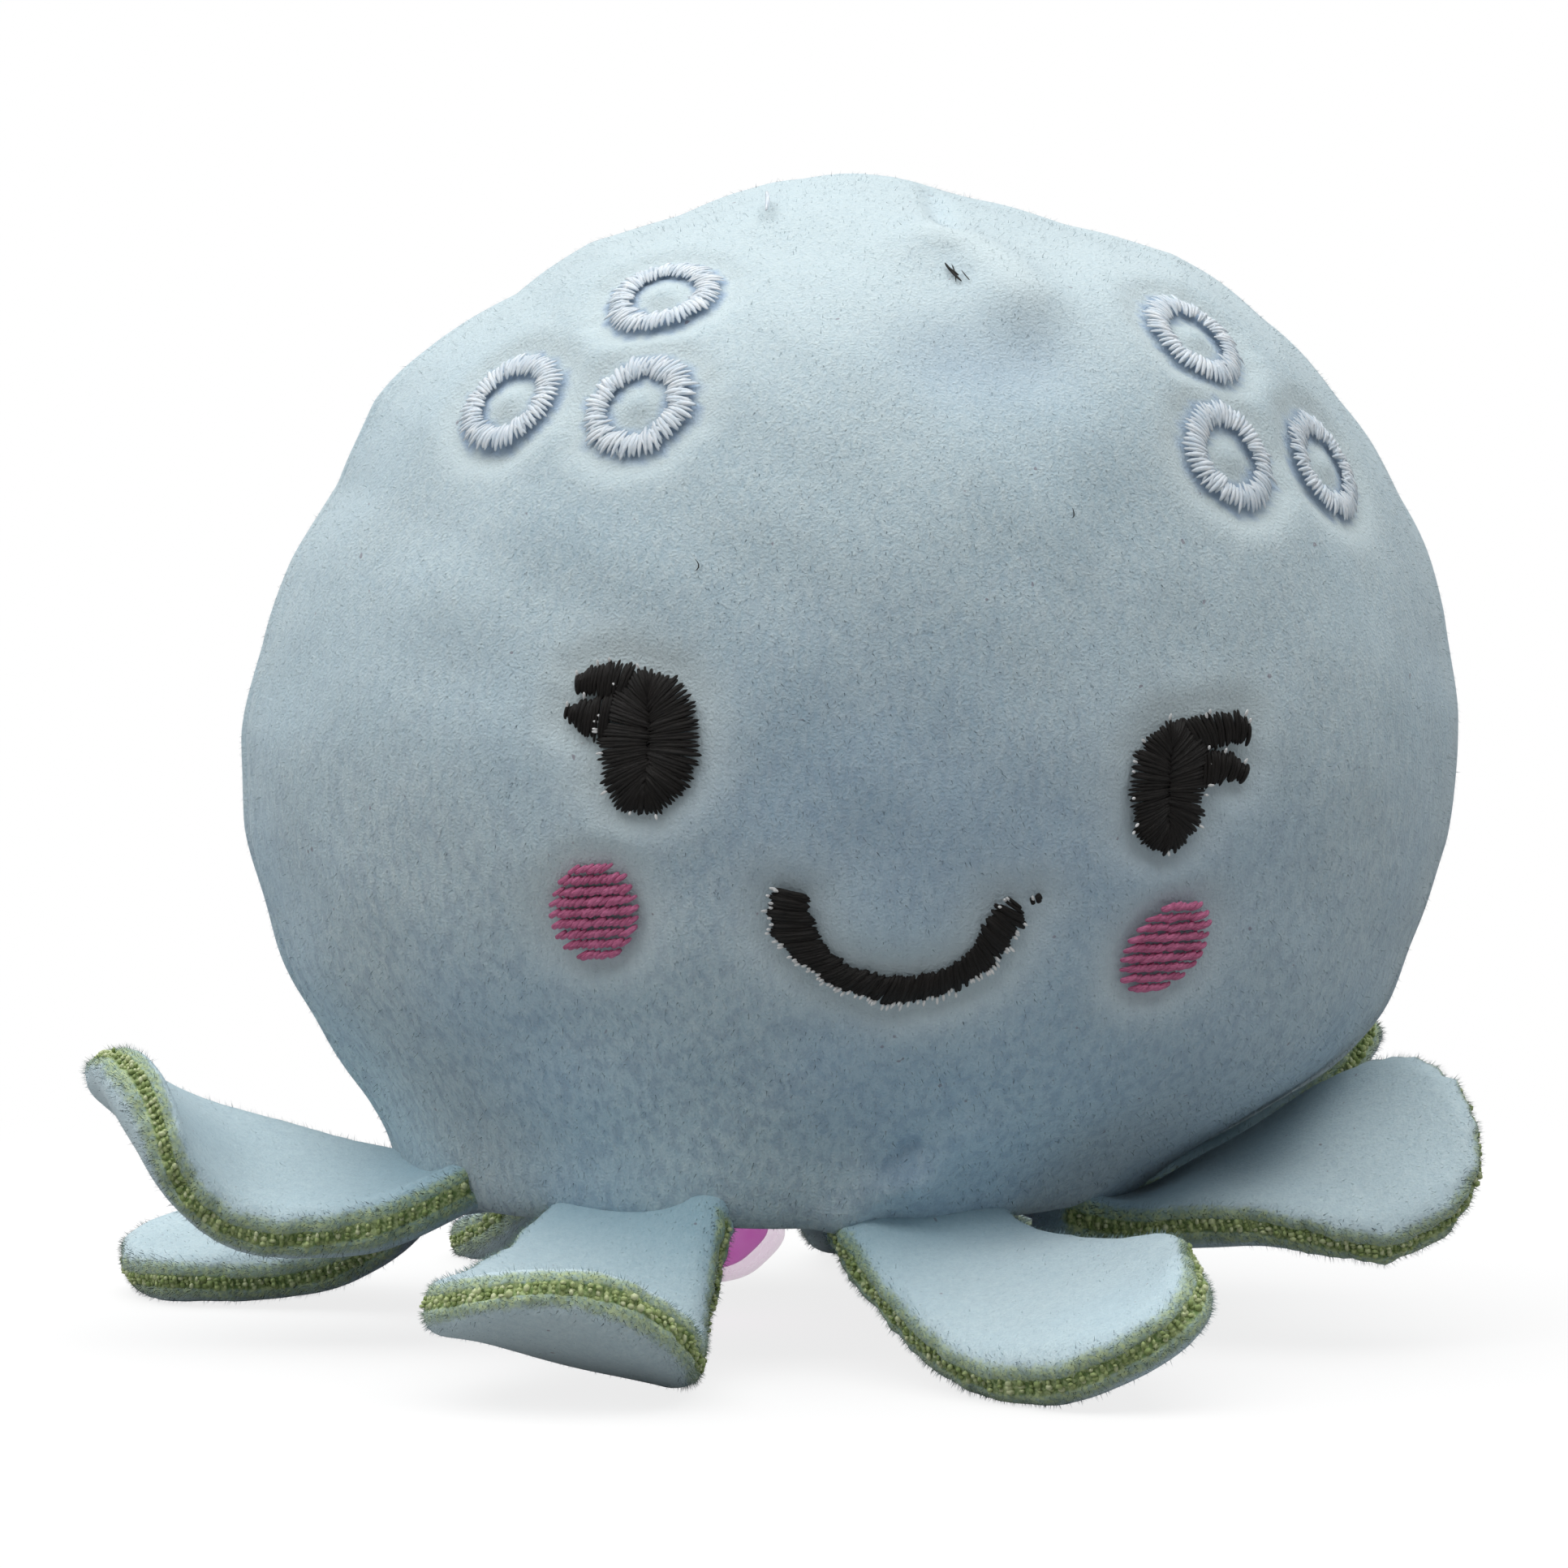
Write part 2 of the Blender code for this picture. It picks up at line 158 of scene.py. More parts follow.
class Shader(Nodes):
    """Builds one material."""

    def __init__(self, name: str) -> None:
        """Starts the material with its Principled shader.

        Args:
            name: The material's name.
        """
        self.material = bpy.data.materials.new(name)
        self.material.use_nodes = True
        super().__init__(self.material.node_tree)
        self.surface = self.tree.nodes["Principled BSDF"]
        self.output = self.tree.nodes["Material Output"]

    def place(self, stretch: tuple[float, float, float] = (1.0, 1.0, 1.0), map_name: str = "") -> object:
        """Gives Object coordinates, or a UV map's, stretched.

        Args:
            stretch: How much each axis is scaled.
            map_name: The UV map to read, or nothing for Object coordinates.

        Returns:
            The socket with the coordinates.
        """
        if map_name:
            source = self.node("ShaderNodeUVMap", {"uv_map": map_name}).outputs[0]
        else:
            source = self.node("ShaderNodeTexCoord").outputs["Object"]
        return self.node("ShaderNodeMapping", {}, {"Vector": source, "Scale": stretch}).outputs[0]

    def noise(self, place: object, scale: float, detail: float = 2.0, rough: float = 0.5) -> Number:
        """Gives fractal noise from 0 to 1."""
        values = {"Vector": place, "Scale": scale, "Detail": detail, "Roughness": rough}
        return Number(self, self.node("ShaderNodeTexNoise", {}, values).outputs[0])

    def mask(self, name: str) -> Number:
        """Reads a number that the mesh holds."""
        return Number(self, self.node("ShaderNodeAttribute", {"attribute_name": name}).outputs["Fac"])

    def blend(self, first: object, second: object, share: object) -> object:
        """Mixes two colours."""
        node = self.node("ShaderNodeMix", {"data_type": "RGBA"}, {0: share, 6: first, 7: second})
        return node.outputs[2]

    def bump(self, height: Number, distance: float, strength: float = 1.0) -> None:
        """Feeds a height to the shader's normal."""
        node = self.node("ShaderNodeBump", {}, {"Strength": strength, "Distance": distance, "Height": height})
        self.feed(self.surface.inputs["Normal"], node.outputs[0])

    def finish(self, color: object, roughness: object, **constants: object) -> bpy.types.Material:
        """Feeds the colour and roughness and sets the constants.

        Args:
            color: The base colour, or its socket.
            roughness: The roughness, or its socket.
            **constants: Other sockets' values, with _ for a space.

        Returns:
            The material.
        """
        self.feed(self.surface.inputs["Base Color"], color)
        self.feed(self.surface.inputs["Roughness"], roughness)
        for name, value in constants.items():
            self.feed(self.surface.inputs[name.replace("_", " ")], value)
        return self.material


@dataclass(frozen=True)
class PlushFinish:
    """Short pale blue pile over a darker ground."""

    name: str = "pale_blue_plush"
    deep: Color = (0.35, 0.48, 0.56)
    pale: Color = (0.59, 0.68, 0.70)
    bluish: Color = (0.39, 0.55, 0.65)
    # painted shade between the ring stitches
    stitch_gap_shade: Color = (0.34, 0.46, 0.62)
    singed: Color = (0.16, 0.25, 0.085)
    straw: Color = (0.46, 0.55, 0.28)
    speck: Color = (0.16, 0.10, 0.14)
    # painted shade in creases, folds and at the legs' roots
    hollow_shade: Color = (0.17, 0.29, 0.47)
    # painted shade in the gaps between pile clumps
    clump_gap_shade: Color = (0.20, 0.26, 0.37)
    # cool blue of painted shade on downward-facing plush
    cool_under_shade: Color = (0.24, 0.41, 0.60)
    relief: float = 0.00020
    streak_scale: float = 2300.0
    grain_scale: float = 5200.0
    clump_scale: float = 1500.0
    patch_scale: float = 38.0
    fleck_scale: float = 1300.0
    bead_scale: float = 3000.0

    def build(self) -> bpy.types.Material:
        """Builds the material."""
        shader = Shader(self.name)
        place = shader.place()
        streaks = shader.noise(shader.place((1.0, 1.0, 0.40)), self.streak_scale, 4.0, 0.7)
        grain = shader.noise(place, self.grain_scale, 2.0)
        clouds = shader.noise(place, CLOUD_SCALE, 3.0)
        tone = (streaks * 0.50 + grain * 0.35 + clouds * 0.35).ramp(0.30, 0.88)
        color = shader.blend(self.deep, self.pale, tone)
        color = shader.blend(color, self.bluish, clouds.ramp(0.45, 0.75) * 0.40)
        # Painted shade: darker gaps between pile clumps, a little everywhere and most on downward-facing plush, and
        # cooler blue patches there.
        under = shader.mask("under")
        clumps = shader.noise(shader.place((1.0, 1.0, 0.55)), self.clump_scale, 2.0, 0.55)
        gaps = 1.0 - clumps.ramp(0.34, 0.58)
        color = shader.blend(color, self.clump_gap_shade, gaps * (under * 0.34 + 0.06))
        patches = shader.noise(place, self.patch_scale, 2.0).ramp(0.40, 0.62)
        color = shader.blend(color, self.cool_under_shade, under * patches * 0.36)
        # Paler pile pressed flat round the embroidery, with painted light on the upward-facing top and the crown
        # ridge.
        color = shader.blend(color, self.pale, shader.mask("halo_and_painted_light") * 0.75)
        # Painted shade in creases, folds and at the legs' roots.
        color = shader.blend(color, self.hollow_shade, shader.mask("crease_shade") * 0.55)
        # Painted shade between the ring stitches.
        color = shader.blend(color, self.stitch_gap_shade, shader.mask("ring_gap_shade") * 0.85)
        flecks = shader.noise(place, self.fleck_scale, 1.0).ramp(0.775, 0.81)
        color = shader.blend(color, self.speck, flecks * 0.55)
        beads = shader.noise(place, self.bead_scale, 2.0, 0.6)
        burnt = shader.blend(self.singed, self.straw, beads.ramp(0.36, 0.66))
        scorch = shader.mask("scorch")
        color = shader.blend(color, burnt, (scorch + (beads - 0.5) * 0.5).ramp(0.30, 0.85))
        shader.bump(streaks * 0.5 + grain * 0.5, self.relief, 0.9)
        sheen = {"Sheen_Weight": 0.35, "Sheen_Roughness": 0.45, "Sheen_Tint": SHEEN_TINT}
        return shader.finish(color, 0.92, **sheen, Specular_IOR_Level=0.15)


@dataclass(frozen=True)
class FibreFinish:
    """The tips of the pile, paler towards their ends, with painted shade at each fibre's root."""

    name: str = "pile_fibres"
    root: Color = (0.50, 0.63, 0.69)
    tip: Color = (0.66, 0.75, 0.77)
    singed: Color = (0.55, 0.66, 0.52)

    def build(self) -> bpy.types.Material:
        """Builds the material."""
        shader = Shader(self.name)
        clouds = shader.noise(shader.place(), CLOUD_SCALE, 3.0)
        # Painted shade: each fibre is darker at its root than at its tip, with a random tone.
        color = shader.blend(self.root, self.tip, shader.mask("shade"))
        color = shader.blend(color, self.root, clouds.ramp(0.48, 0.78) * 0.35)
        color = shader.blend(color, self.singed, shader.mask("scorch").ramp(0.4, 0.8))
        return shader.finish(color, 0.9, Sheen_Weight=0.3, Sheen_Tint=SHEEN_TINT, Specular_IOR_Level=0.15)


@dataclass(frozen=True)
class BeadFinish:
    """Plush fibres melted into green and straw-coloured beads along a cut."""

    name: str = "singed_beads"
    dark: Color = (0.25, 0.33, 0.12)
    middle: Color = (0.41, 0.49, 0.22)
    light: Color = (0.60, 0.65, 0.40)

    def build(self) -> bpy.types.Material:
        """Builds the material."""
        shader = Shader(self.name)
        shade = shader.mask("shade")
        spots = shader.noise(shader.place(), 2600.0, 2.0)
        color = shader.blend(self.dark, self.middle, (shade + (spots - 0.5) * 0.6).ramp(0.10, 0.55))
        color = shader.blend(color, self.light, (shade + (spots - 0.5) * 0.5).ramp(0.55, 1.0))
        shader.bump(spots, 0.00008, 0.8)
        return shader.finish(color, 0.6, Specular_IOR_Level=0.3)


@dataclass(frozen=True)
class ThreadFinish:
    """Embroidery thread: fine filaments along each stitch, their lighter streaks painted sheen and darker ones painted
    shade.
    """

    name: str
    dark: Color
    light: Color
    roughness: float = 0.42
    gloss: float = 0.5

    def build(self) -> bpy.types.Material:
        """Builds the material."""
        shader = Shader(self.name)
        filaments = shader.noise(shader.place((9.0, 1.6, 1.0), "thread"), 1.0, 3.0, 0.6)
        tone = shader.noise(shader.place(), 900.0, 1.0)
        # Painted sheen and shade: the filaments run from the dark to the light colour.
        color = shader.blend(self.dark, self.light, (filaments * 0.8 + tone * 0.3).ramp(0.30, 0.80))
        shader.bump(filaments, 0.00012, 0.9)
        return shader.finish(color, self.roughness, Specular_IOR_Level=self.gloss)


@dataclass(frozen=True)
class GelFinish:
    """Translucent pink gel behind a thin film, with a painted glow for light passing through the gel."""

    name: str = "pink_gel"
    deep: Color = (0.82, 0.10, 0.66)
    pale: Color = (0.90, 0.30, 0.80)
    # painted glow for light passing through the gel
    glow: Color = (0.42, 0.045, 0.34)
    alpha: float = 1.0

    def build(self) -> bpy.types.Material:
        """Builds the material."""
        shader = Shader(self.name)
        cells = shader.noise(shader.place(), 520.0, 2.0)
        color = shader.blend(self.deep, self.pale, cells.ramp(0.35, 0.65))
        shader.bump(cells, 0.0004, 0.5)
        # Painted glow: the gel gives off light of its own in place of light passing through it.
        return shader.finish(
            color, 0.22, Coat_Weight=0.5, Alpha=self.alpha, Emission_Color=self.glow, Emission_Strength=0.5
        )


def add_object(name: str, mesh: bpy.types.Mesh, material: bpy.types.Material | None = None) -> bpy.types.Object:
    """Puts a mesh in the scene as an object of its own.

    Args:
        name: The piece's name.
        mesh: Its mesh, in the row's frame.
        material: Its finish.

    Returns:
        The object.
    """
    made = bpy.data.objects.new(name, mesh)
    bpy.context.scene.collection.objects.link(made)
    if material:
        mesh.materials.append(material)
    return made


def mesh_of(bm: bmesh.types.BMesh, name: str) -> bpy.types.Mesh:
    """Turns a bmesh into a mesh and frees it."""
    mesh = bpy.data.meshes.new(name)
    bm.to_mesh(mesh)
    bm.free()
    return mesh


def ball_of(segments: int, rings: int) -> bmesh.types.BMesh:
    """Makes a closed ball of radius 1."""
    bm = bmesh.new()
    bmesh.ops.create_uvsphere(bm, u_segments=segments, v_segments=rings, radius=1.0)
    return bm


def tree_of(mesh: bpy.types.Mesh) -> BVHTree:
    """Gives a mesh's faces for rays to hit."""
    bm = bmesh.new()
    bm.from_mesh(mesh)
    tree = BVHTree.FromBMesh(bm)
    bm.free()
    return tree


def bell(away: np.ndarray, reach: float, power: int = 2) -> np.ndarray:
    """Falls smoothly from 1 at no distance to about 0 past the reach."""
    return np.exp(-((away / reach) ** power))


def clamp(values: np.ndarray) -> np.ndarray:
    """Holds numbers between 0 and 1."""
    return np.clip(values, 0.0, 1.0)


def curve(share: np.ndarray, start: np.ndarray, middle: np.ndarray, end: np.ndarray) -> np.ndarray:
    """Reads a smooth curve through three points at shares of its way."""
    first, last = (1 - share) * (1 - 2 * share), share * (2 * share - 1)
    return np.outer(first, start) + np.outer(4 * share * (1 - share), middle) + np.outer(last, end)


def coordinates(mesh: bpy.types.Mesh) -> np.ndarray:
    """Reads a mesh's vertices as rows of x, y and z."""
    flat = np.empty(len(mesh.vertices) * 3)
    mesh.vertices.foreach_get("co", flat)
    return flat.reshape(-1, 3)


def vertex_normals(mesh: bpy.types.Mesh) -> np.ndarray:
    """Reads a mesh's vertex normals."""
    flat = np.empty(len(mesh.vertices) * 3)
    mesh.vertex_normals.foreach_get("vector", flat)
    return flat.reshape(-1, 3)


def move_vertices(mesh: bpy.types.Mesh, places: np.ndarray) -> None:
    """Puts a mesh's vertices at new places."""
    mesh.vertices.foreach_set("co", places.astype(np.float32).ravel())
    mesh.update()


def store(mesh: bpy.types.Mesh, name: str, values: np.ndarray) -> None:
    """Keeps a number at each vertex for the materials to read."""
    layer = mesh.attributes.get(name) or mesh.attributes.new(name, "FLOAT", "POINT")
    layer.data.foreach_set("value", values.astype(np.float32))


def read(mesh: bpy.types.Mesh, name: str) -> np.ndarray:
    """Reads a number at each vertex, or zeros where the mesh holds none."""
    values = np.zeros(len(mesh.vertices), np.float32)
    layer = mesh.attributes.get(name)
    if layer:
        layer.data.foreach_get("value", values)
    return values


def distances(places: np.ndarray, targets: list[Vector]) -> np.ndarray:
    """Measures from each place to the nearest target."""
    tree = KDTree(len(targets))
    for index, target in enumerate(targets):
        tree.insert(target, index)
    tree.balance()
    return np.array([tree.find(place)[2] for place in places])


def unit(rows: np.ndarray) -> np.ndarray:
    """Scales each row to length 1."""
    return rows / np.maximum(np.linalg.norm(rows, axis=1, keepdims=True), 1e-12)


def waves(places: np.ndarray, length: float, seed: int, count: int = 9) -> np.ndarray:
    """Gives a smooth, uneven field from about -1 to 1.

    Args:
        places: Rows of x, y and z.
        length: The rough distance between humps.
        seed: Which field.
        count: How many waves are added up.

    Returns:
        One number for each row.
    """
    rng = np.random.default_rng(seed)
    total = np.zeros(len(places))
    for _ in range(count):
        direction = rng.normal(size=3)
        direction *= 2.0 * math.pi / length * rng.uniform(0.6, 1.4) / np.linalg.norm(direction)
        total += np.sin(places @ direction + rng.uniform(0.0, 2.0 * math.pi))
    return total / math.sqrt(count)


def repeated(template: bmesh.types.BMesh, count: int) -> tuple[bpy.types.Mesh, np.ndarray]:
    """Repeats a small closed shape, all copies in one place.

    Args:
        template: The shape; it is freed.
        count: How many copies.

    Returns:
        The mesh of all copies, and the shape's own vertices.
    """
    mesh = mesh_of(template, "template")
    own = coordinates(mesh)
    holder = add_object("template", mesh)
    copies = holder.modifiers.new("copies", "ARRAY")
    copies.count = count
    copies.use_relative_offset = False
    depsgraph = bpy.context.evaluated_depsgraph_get()
    result = bpy.data.meshes.new_from_object(holder.evaluated_get(depsgraph))
    bpy.data.objects.remove(holder)
    bpy.data.meshes.remove(mesh)
    return result, own


@dataclass(frozen=True)
class Lens:
    """The photograph's camera, set against the middle of the toy's base."""

    azimuth: float = math.radians(-7.5)
    elevation: float = math.radians(2.0)
    distance: float = 0.380
    focal: float = 6909.0
    aside: float = 0.0013
    height: float = 0.0365

    def axes(self) -> tuple[Vector, Vector, Vector]:
        """Gives the camera's right, up and towards-camera directions."""
        right = Vector((math.cos(self.azimuth), math.sin(self.azimuth), 0.0))
        toward = Vector(
            (
                math.sin(self.azimuth) * math.cos(self.elevation),
                -math.cos(self.azimuth) * math.cos(self.elevation),
                math.sin(self.elevation),
            )
        )
        return right, toward.cross(right), toward

    def eye(self, base: Vector) -> Vector:
        """Gives the camera's place."""
        right, _, toward = self.axes()
        return base + right * self.aside + Vector((0.0, 0.0, self.height)) + toward * self.distance

    def ray(self, px: float, py: float) -> Vector:
        """Gives the direction through a point of the photograph."""
        right, up, toward = self.axes()
        middle = PHOTO_SIDE / 2
        return (right * ((px - middle) / self.focal) + up * ((middle - py) / self.focal) - toward).normalized()

    def add_camera(self, base: Vector) -> None:
        """Adds the scene's camera."""
        right, up, toward = self.axes()
        data = bpy.data.cameras.new("camera")
        data.sensor_width = 36.0
        data.lens = data.sensor_width * self.focal / PHOTO_SIDE
        camera = bpy.data.objects.new("camera", data)
        turn = Matrix((right, up, toward)).transposed().to_4x4()
        camera.matrix_world = Matrix.Translation(self.eye(base)) @ turn
        bpy.context.scene.collection.objects.link(camera)
        bpy.context.scene.camera = camera


@dataclass(frozen=True)
class Fold:
    """A ridge, seam or dip of the cover along points of the photograph, with its painted shade and painted highlight.
    """

    points: Points
    height: float
    reach: float
    # painted shade along the fold
    crease_shade: float = 0.0
    # painted highlight along the fold
    pale: float = 0.0


# Each fold's fourth value is painted shade along it, and its fifth a painted highlight.
FOLDS = (
    Fold(((1148, 236), (1157, 262), (1168, 292)), -0.55 * MM, 0.8 * MM, 0.1),
    Fold(((1168, 322), (1182, 345)), -0.3 * MM, 0.9 * MM, 0.1),
    Fold(((1156, 300), (1200, 318), (1232, 338), (1256, 364)), 1.15 * MM, 3.0 * MM, 0.0, 1.0),
    Fold(((1185, 440), (1225, 444), (1260, 436)), -0.8 * MM, 4.0 * MM, 0.42),
    Fold(((1096, 1438), (1108, 1428), (1120, 1414)), -0.9 * MM, 0.9 * MM, 0.6),
    Fold(((1040, 1500), (1078, 1466), (1116, 1447)), 1.0 * MM, 1.6 * MM),
    Fold(((1130, 1442), (1160, 1420), (1195, 1398)), 0.9 * MM, 1.8 * MM),
    Fold(((700, 1240), (850, 1330), (1000, 1300)), -0.5 * MM, 5.0 * MM, 0.15),
    Fold(((480, 700), (520, 640), (600, 600)), -0.4 * MM, 5.0 * MM),
    Fold(((950, 1040), (1100, 1020), (1300, 1040), (1500, 1080)), -0.2 * MM, 9.0 * MM, 0.4),
)


@dataclass
class Cover:
    """The stuffed plush cover: two body panels over a round base."""

    width: float = 0.0821
    depth: float = 0.0720
    height: float = 0.0676
    seam_height: float = 0.0105
    seam_radius: float = 0.0240
    seam_tilt: float = SEAM_TILT
    lean: float = 0.0059
    base_radius: float = 0.0215
    base_sag: float = 0.0030
    hem_roll: float = 0.0008
    hem_sag: Points = ((-22.0, 2.1), (0.0, 1.3), (20.0, 0.0))
    side_seam: float = -0.0030
    level_from: float = 0.3
    crown_lean: float = 0.98
    segments: int = 340
    levels: int = 226
    seed: int = 7
    middle_height: float = 0.0400
    swell: float = 0.28 * MM
    swell_length: float = 26 * MM
    ripple: float = 0.08 * MM
    ripple_length: float = 7 * MM
    seam_start: float = 0.011
    pucker: float = 0.30 * MM
    pucker_away: float = 1.3 * MM
    pucker_reach: float = 0.9 * MM
    groove: float = 0.55 * MM
    groove_reach: float = 0.42 * MM
    groove_shade: float = 0.45
    # painted light on the upward-facing top
    crown_painted_light: float = 0.7
    trim: Points = (
        (-180.0, 0.2), (-170.0, 0.4), (-160.0, 0.2), (-150.0, 0.0), (-30.0, 0.0), (-18.0, 0.1), (-9.0, 0.45),
        (0.0, -0.2), (10.0, -0.2), (20.0, -0.8), (30.0, -0.95), (40.0, -0.85), (50.0, 0.0), (60.0, -1.1),
        (70.0, -1.2), (80.0, -0.85), (90.0, -0.7), (100.0, -1.05), (110.0, -0.35), (120.0, -1.35), (130.0, -0.6),
        (140.0, -0.2), (150.0, -1.15), (160.0, -0.65), (170.0, -0.5), (180.0, 0.2),
    )
    outline: tuple = (
        (0.057, 0.704, 0.750, 0.37),
        (0.135, 0.856, 0.868, 0.85),
        (0.235, 0.940, 0.945, 0.95),
        (0.400, 1.000, 1.000, 1.00),
        (0.530, 0.980, 0.985, 1.04),
        (0.660, 0.908, 0.915, 1.12),
        (0.790, 0.781, 0.785, 1.14),
        (0.880, 0.613, 0.615, 1.18),
        (0.945, 0.398, 0.405, 1.15),
        (0.985, 0.195, 0.200, 1.02),
    )
    base: Vector = field(default_factory=Vector)
    tree: BVHTree | None = None

    def __post_init__(self) -> None:
        """Finds the middle of the base in the frame."""
        low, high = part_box("base_panel")
        self.base = Vector(((low.x + high.x) / 2, (low.y + high.y) / 2, 0.0))

    def profile(self) -> np.ndarray:
        """Gives rows of middle x, half width, half depth, height and tilt from the base's middle to the crown."""
        under = [
            (0.0, r, r, self.seam_height - self.base_sag * (1.0 - (r / self.base_radius) ** 2), self.seam_tilt)
            for r in np.linspace(0.0, self.base_radius, 30)
        ]
        rows = [(0.0, self.seam_radius, self.seam_radius, self.seam_height, self.seam_tilt)]
        for up, wide, deep, lean in self.outline:
            tilt = self.seam_tilt * max(0.0, 1.0 - up / self.level_from)
            z = self.seam_height + self.height * up
            rows.append((self.lean * lean, self.width / 2 * wide, self.depth / 2 * deep, z, tilt))
        rows.append((self.lean * self.crown_lean, 0.0, 0.0, self.seam_height + self.height, 0.0))
        rows = np.array(rows)
        before = 2.0 * rows[0] - rows[1]
        after = rows[-2] * np.array((1.0, -1.0, -1.0, 1.0, 1.0))
        p = np.vstack((before, rows, after))
        dense = []
        for i in range(len(rows) - 1):
            a, b, c, d = p[i : i + 4]
            square, cube = 2 * a - 5 * b + 4 * c - d, 3 * b - a - 3 * c + d
            for t in np.linspace(0.0, 1.0, 24, endpoint=False):
                dense.append(0.5 * (2 * b + (c - a) * t + square * t**2 + cube * t**3))
        line = np.vstack((np.array(under), np.array(dense), rows[-1]))
        for _ in range(40):
            softer = line.copy()
            softer[1:-1] = 0.25 * line[:-2] + 0.5 * line[1:-1] + 0.25 * line[2:]
            near = bell(np.hypot(line[:, 1] - self.seam_radius, line[:, 3] - self.seam_height), 0.0016)
            line = line + (softer - line) * near[:, None]
        low = line[:, 3] < self.seam_height + 0.004
        line[:, 3] -= low * self.hem_roll * bell(line[:, 1] - self.seam_radius, 0.0022)
        steps = np.hypot(np.diff(line[:, 1]), np.diff(line[:, 3]))
        along = np.concatenate(((0.0,), np.cumsum(steps)))
        even = np.linspace(0.0, along[-1], self.levels + 1)
        return np.stack([np.interp(even, along, line[:, i]) for i in range(5)], axis=1)

    def form(self) -> bpy.types.Mesh:
        """Builds the smooth closed form, before any seam or fold."""
        mesh = mesh_of(ball_of(self.segments, self.levels), "cover")
        ball = coordinates(mesh)
        table = self.profile()
        row = np.arccos(np.clip(-ball[:, 2], -1.0, 1.0)) / math.pi * (len(table) - 1)
        middle, wide, deep, high, tilt = (np.interp(row, np.arange(len(table)), table[:, i]) for i in range(5))
        turn = np.arctan2(ball[:, 1], ball[:, 0])
        across = wide * np.cos(turn)
        x = middle + across * np.cos(tilt) + self.base.x
        places = np.stack((x, deep * np.sin(turn) + self.base.y, high - across * np.sin(tilt)), axis=1)
        reach, drop = np.array(self.hem_sag).T * MM
        hem = bell(wide - self.seam_radius, 0.0032) * (high < self.seam_height + 0.006)
        places[:, 2] -= hem * np.interp(across, reach, drop)
        move_vertices(mesh, places)
        normals = vertex_normals(mesh)
        around = np.degrees(np.arctan2(places[:, 2] - self.middle_height, places[:, 0] - self.base.x))
        angles, shifts = np.array(self.trim).T
        edge = clamp(1.0 - np.abs(normals[:, 1])) ** 1.5
        even = float(np.mean(shifts))
        lift = (even + (np.interp(around, angles, shifts) - even) * edge) * MM
        lift += self.swell * waves(places, self.swell_length, self.seed)
        lift *= clamp((places[:, 2] - 0.012) / 0.006)
        move_vertices(mesh, places + normals * lift[:, None])
        mesh.shade_smooth()
        return mesh

    def hit(self, lens: Lens, px: float, py: float) -> tuple[Vector, Vector]:
        """Finds where a point of the photograph falls on the cover.

        Args:
            lens: The photograph's camera.
            px: Pixels from the photograph's left.
            py: Pixels from its top.

        Returns:
            The place and the surface's normal.
        """
        return self.tree.ray_cast(lens.eye(self.base), lens.ray(px, py))[:2]

    def build(self, lens: Lens, stitched: "Embroidery") -> bpy.types.Object:
        """Builds the cover with its seams, folds and the dimples round the embroidery.

        Args:
            lens: The photograph's camera.
            stitched: The embroidery, which is laid on the smooth form.

        Returns:
            The cover.
        """
        mesh = self.form()
        self.tree = tree_of(mesh)
        places = coordinates(mesh)
        normals = vertex_normals(mesh)
        # Painted light: the upward-facing top of the cover is paler.
        pale = self.crown_painted_light * clamp((normals[:, 2] - 0.35) / 0.55)
        seam = np.abs(places[:, 1] - self.side_seam - self.base.y)
        above = clamp((places[:, 2] - self.seam_start) / 0.004)
        lift = above * (self.pucker * bell(seam - self.pucker_away, self.pucker_reach))
        lift -= above * self.groove * bell(seam, self.groove_reach)
        # Painted shade along the side seam's groove.
        crease_shade = above * self.groove_shade * bell(seam, 0.35 * MM)
        for fold in FOLDS:
            path = self.path_on_front(lens, fold.points)
            near = np.min(np.linalg.norm(places[:, None, :] - path[None, :, :], axis=2), axis=1)
            share = bell(near, fold.reach)
            lift += fold.height * share
            # Painted shade in each fold's crease.
            crease_shade += fold.crease_shade * share
            # Painted highlight along each fold's ridge.
            pale = np.maximum(pale, fold.pale * share)
        lift += self.ripple * waves(places, self.ripple_length, self.seed + 1)
        stitched.lay(self.tree, self.base)
        away = distances(places, stitched.samples)
        rings = distances(places, stitched.pale_samples)
        lift -= stitched.sunk * bell(np.maximum(away - 0.2 * MM, 0.0), 1.1 * MM)
        masks = {
            # paler pile pressed flat round the embroidery, with painted light on the top and the crown ridge
            "halo_and_painted_light": np.maximum(bell(away, 2.3 * MM), pale),
            # painted shade on downward-facing plush
            "under": clamp((0.30 - normals[:, 2]) / 0.9),
            # painted shade between the ring stitches
            "ring_gap_shade": bell(rings, 0.24 * MM, 4),
            "clear": bell(away, 0.55 * MM, 4),
            "near": bell(away, 2.1 * MM),
            # painted shade in the seam's groove and the folds
            "crease_shade": clamp(crease_shade),
        }
        for key, values in masks.items():
            store(mesh, key, values)
        move_vertices(mesh, places + normals * lift[:, None])
        self.tree = tree_of(mesh)
        return add_object("cover", mesh)

    def path_on_front(self, lens: Lens, points: Points) -> np.ndarray:
        """Lays a line of photograph points on the cover, with points in between."""
        dense = []
        for (ax, ay), (bx, by) in zip(points, points[1:]):
            for share in np.linspace(0.0, 1.0, 8):
                place, _ = self.hit(lens, ax + (bx - ax) * share, ay + (by - ay) * share)
                if place:
                    dense.append(place)
        return np.array(dense)


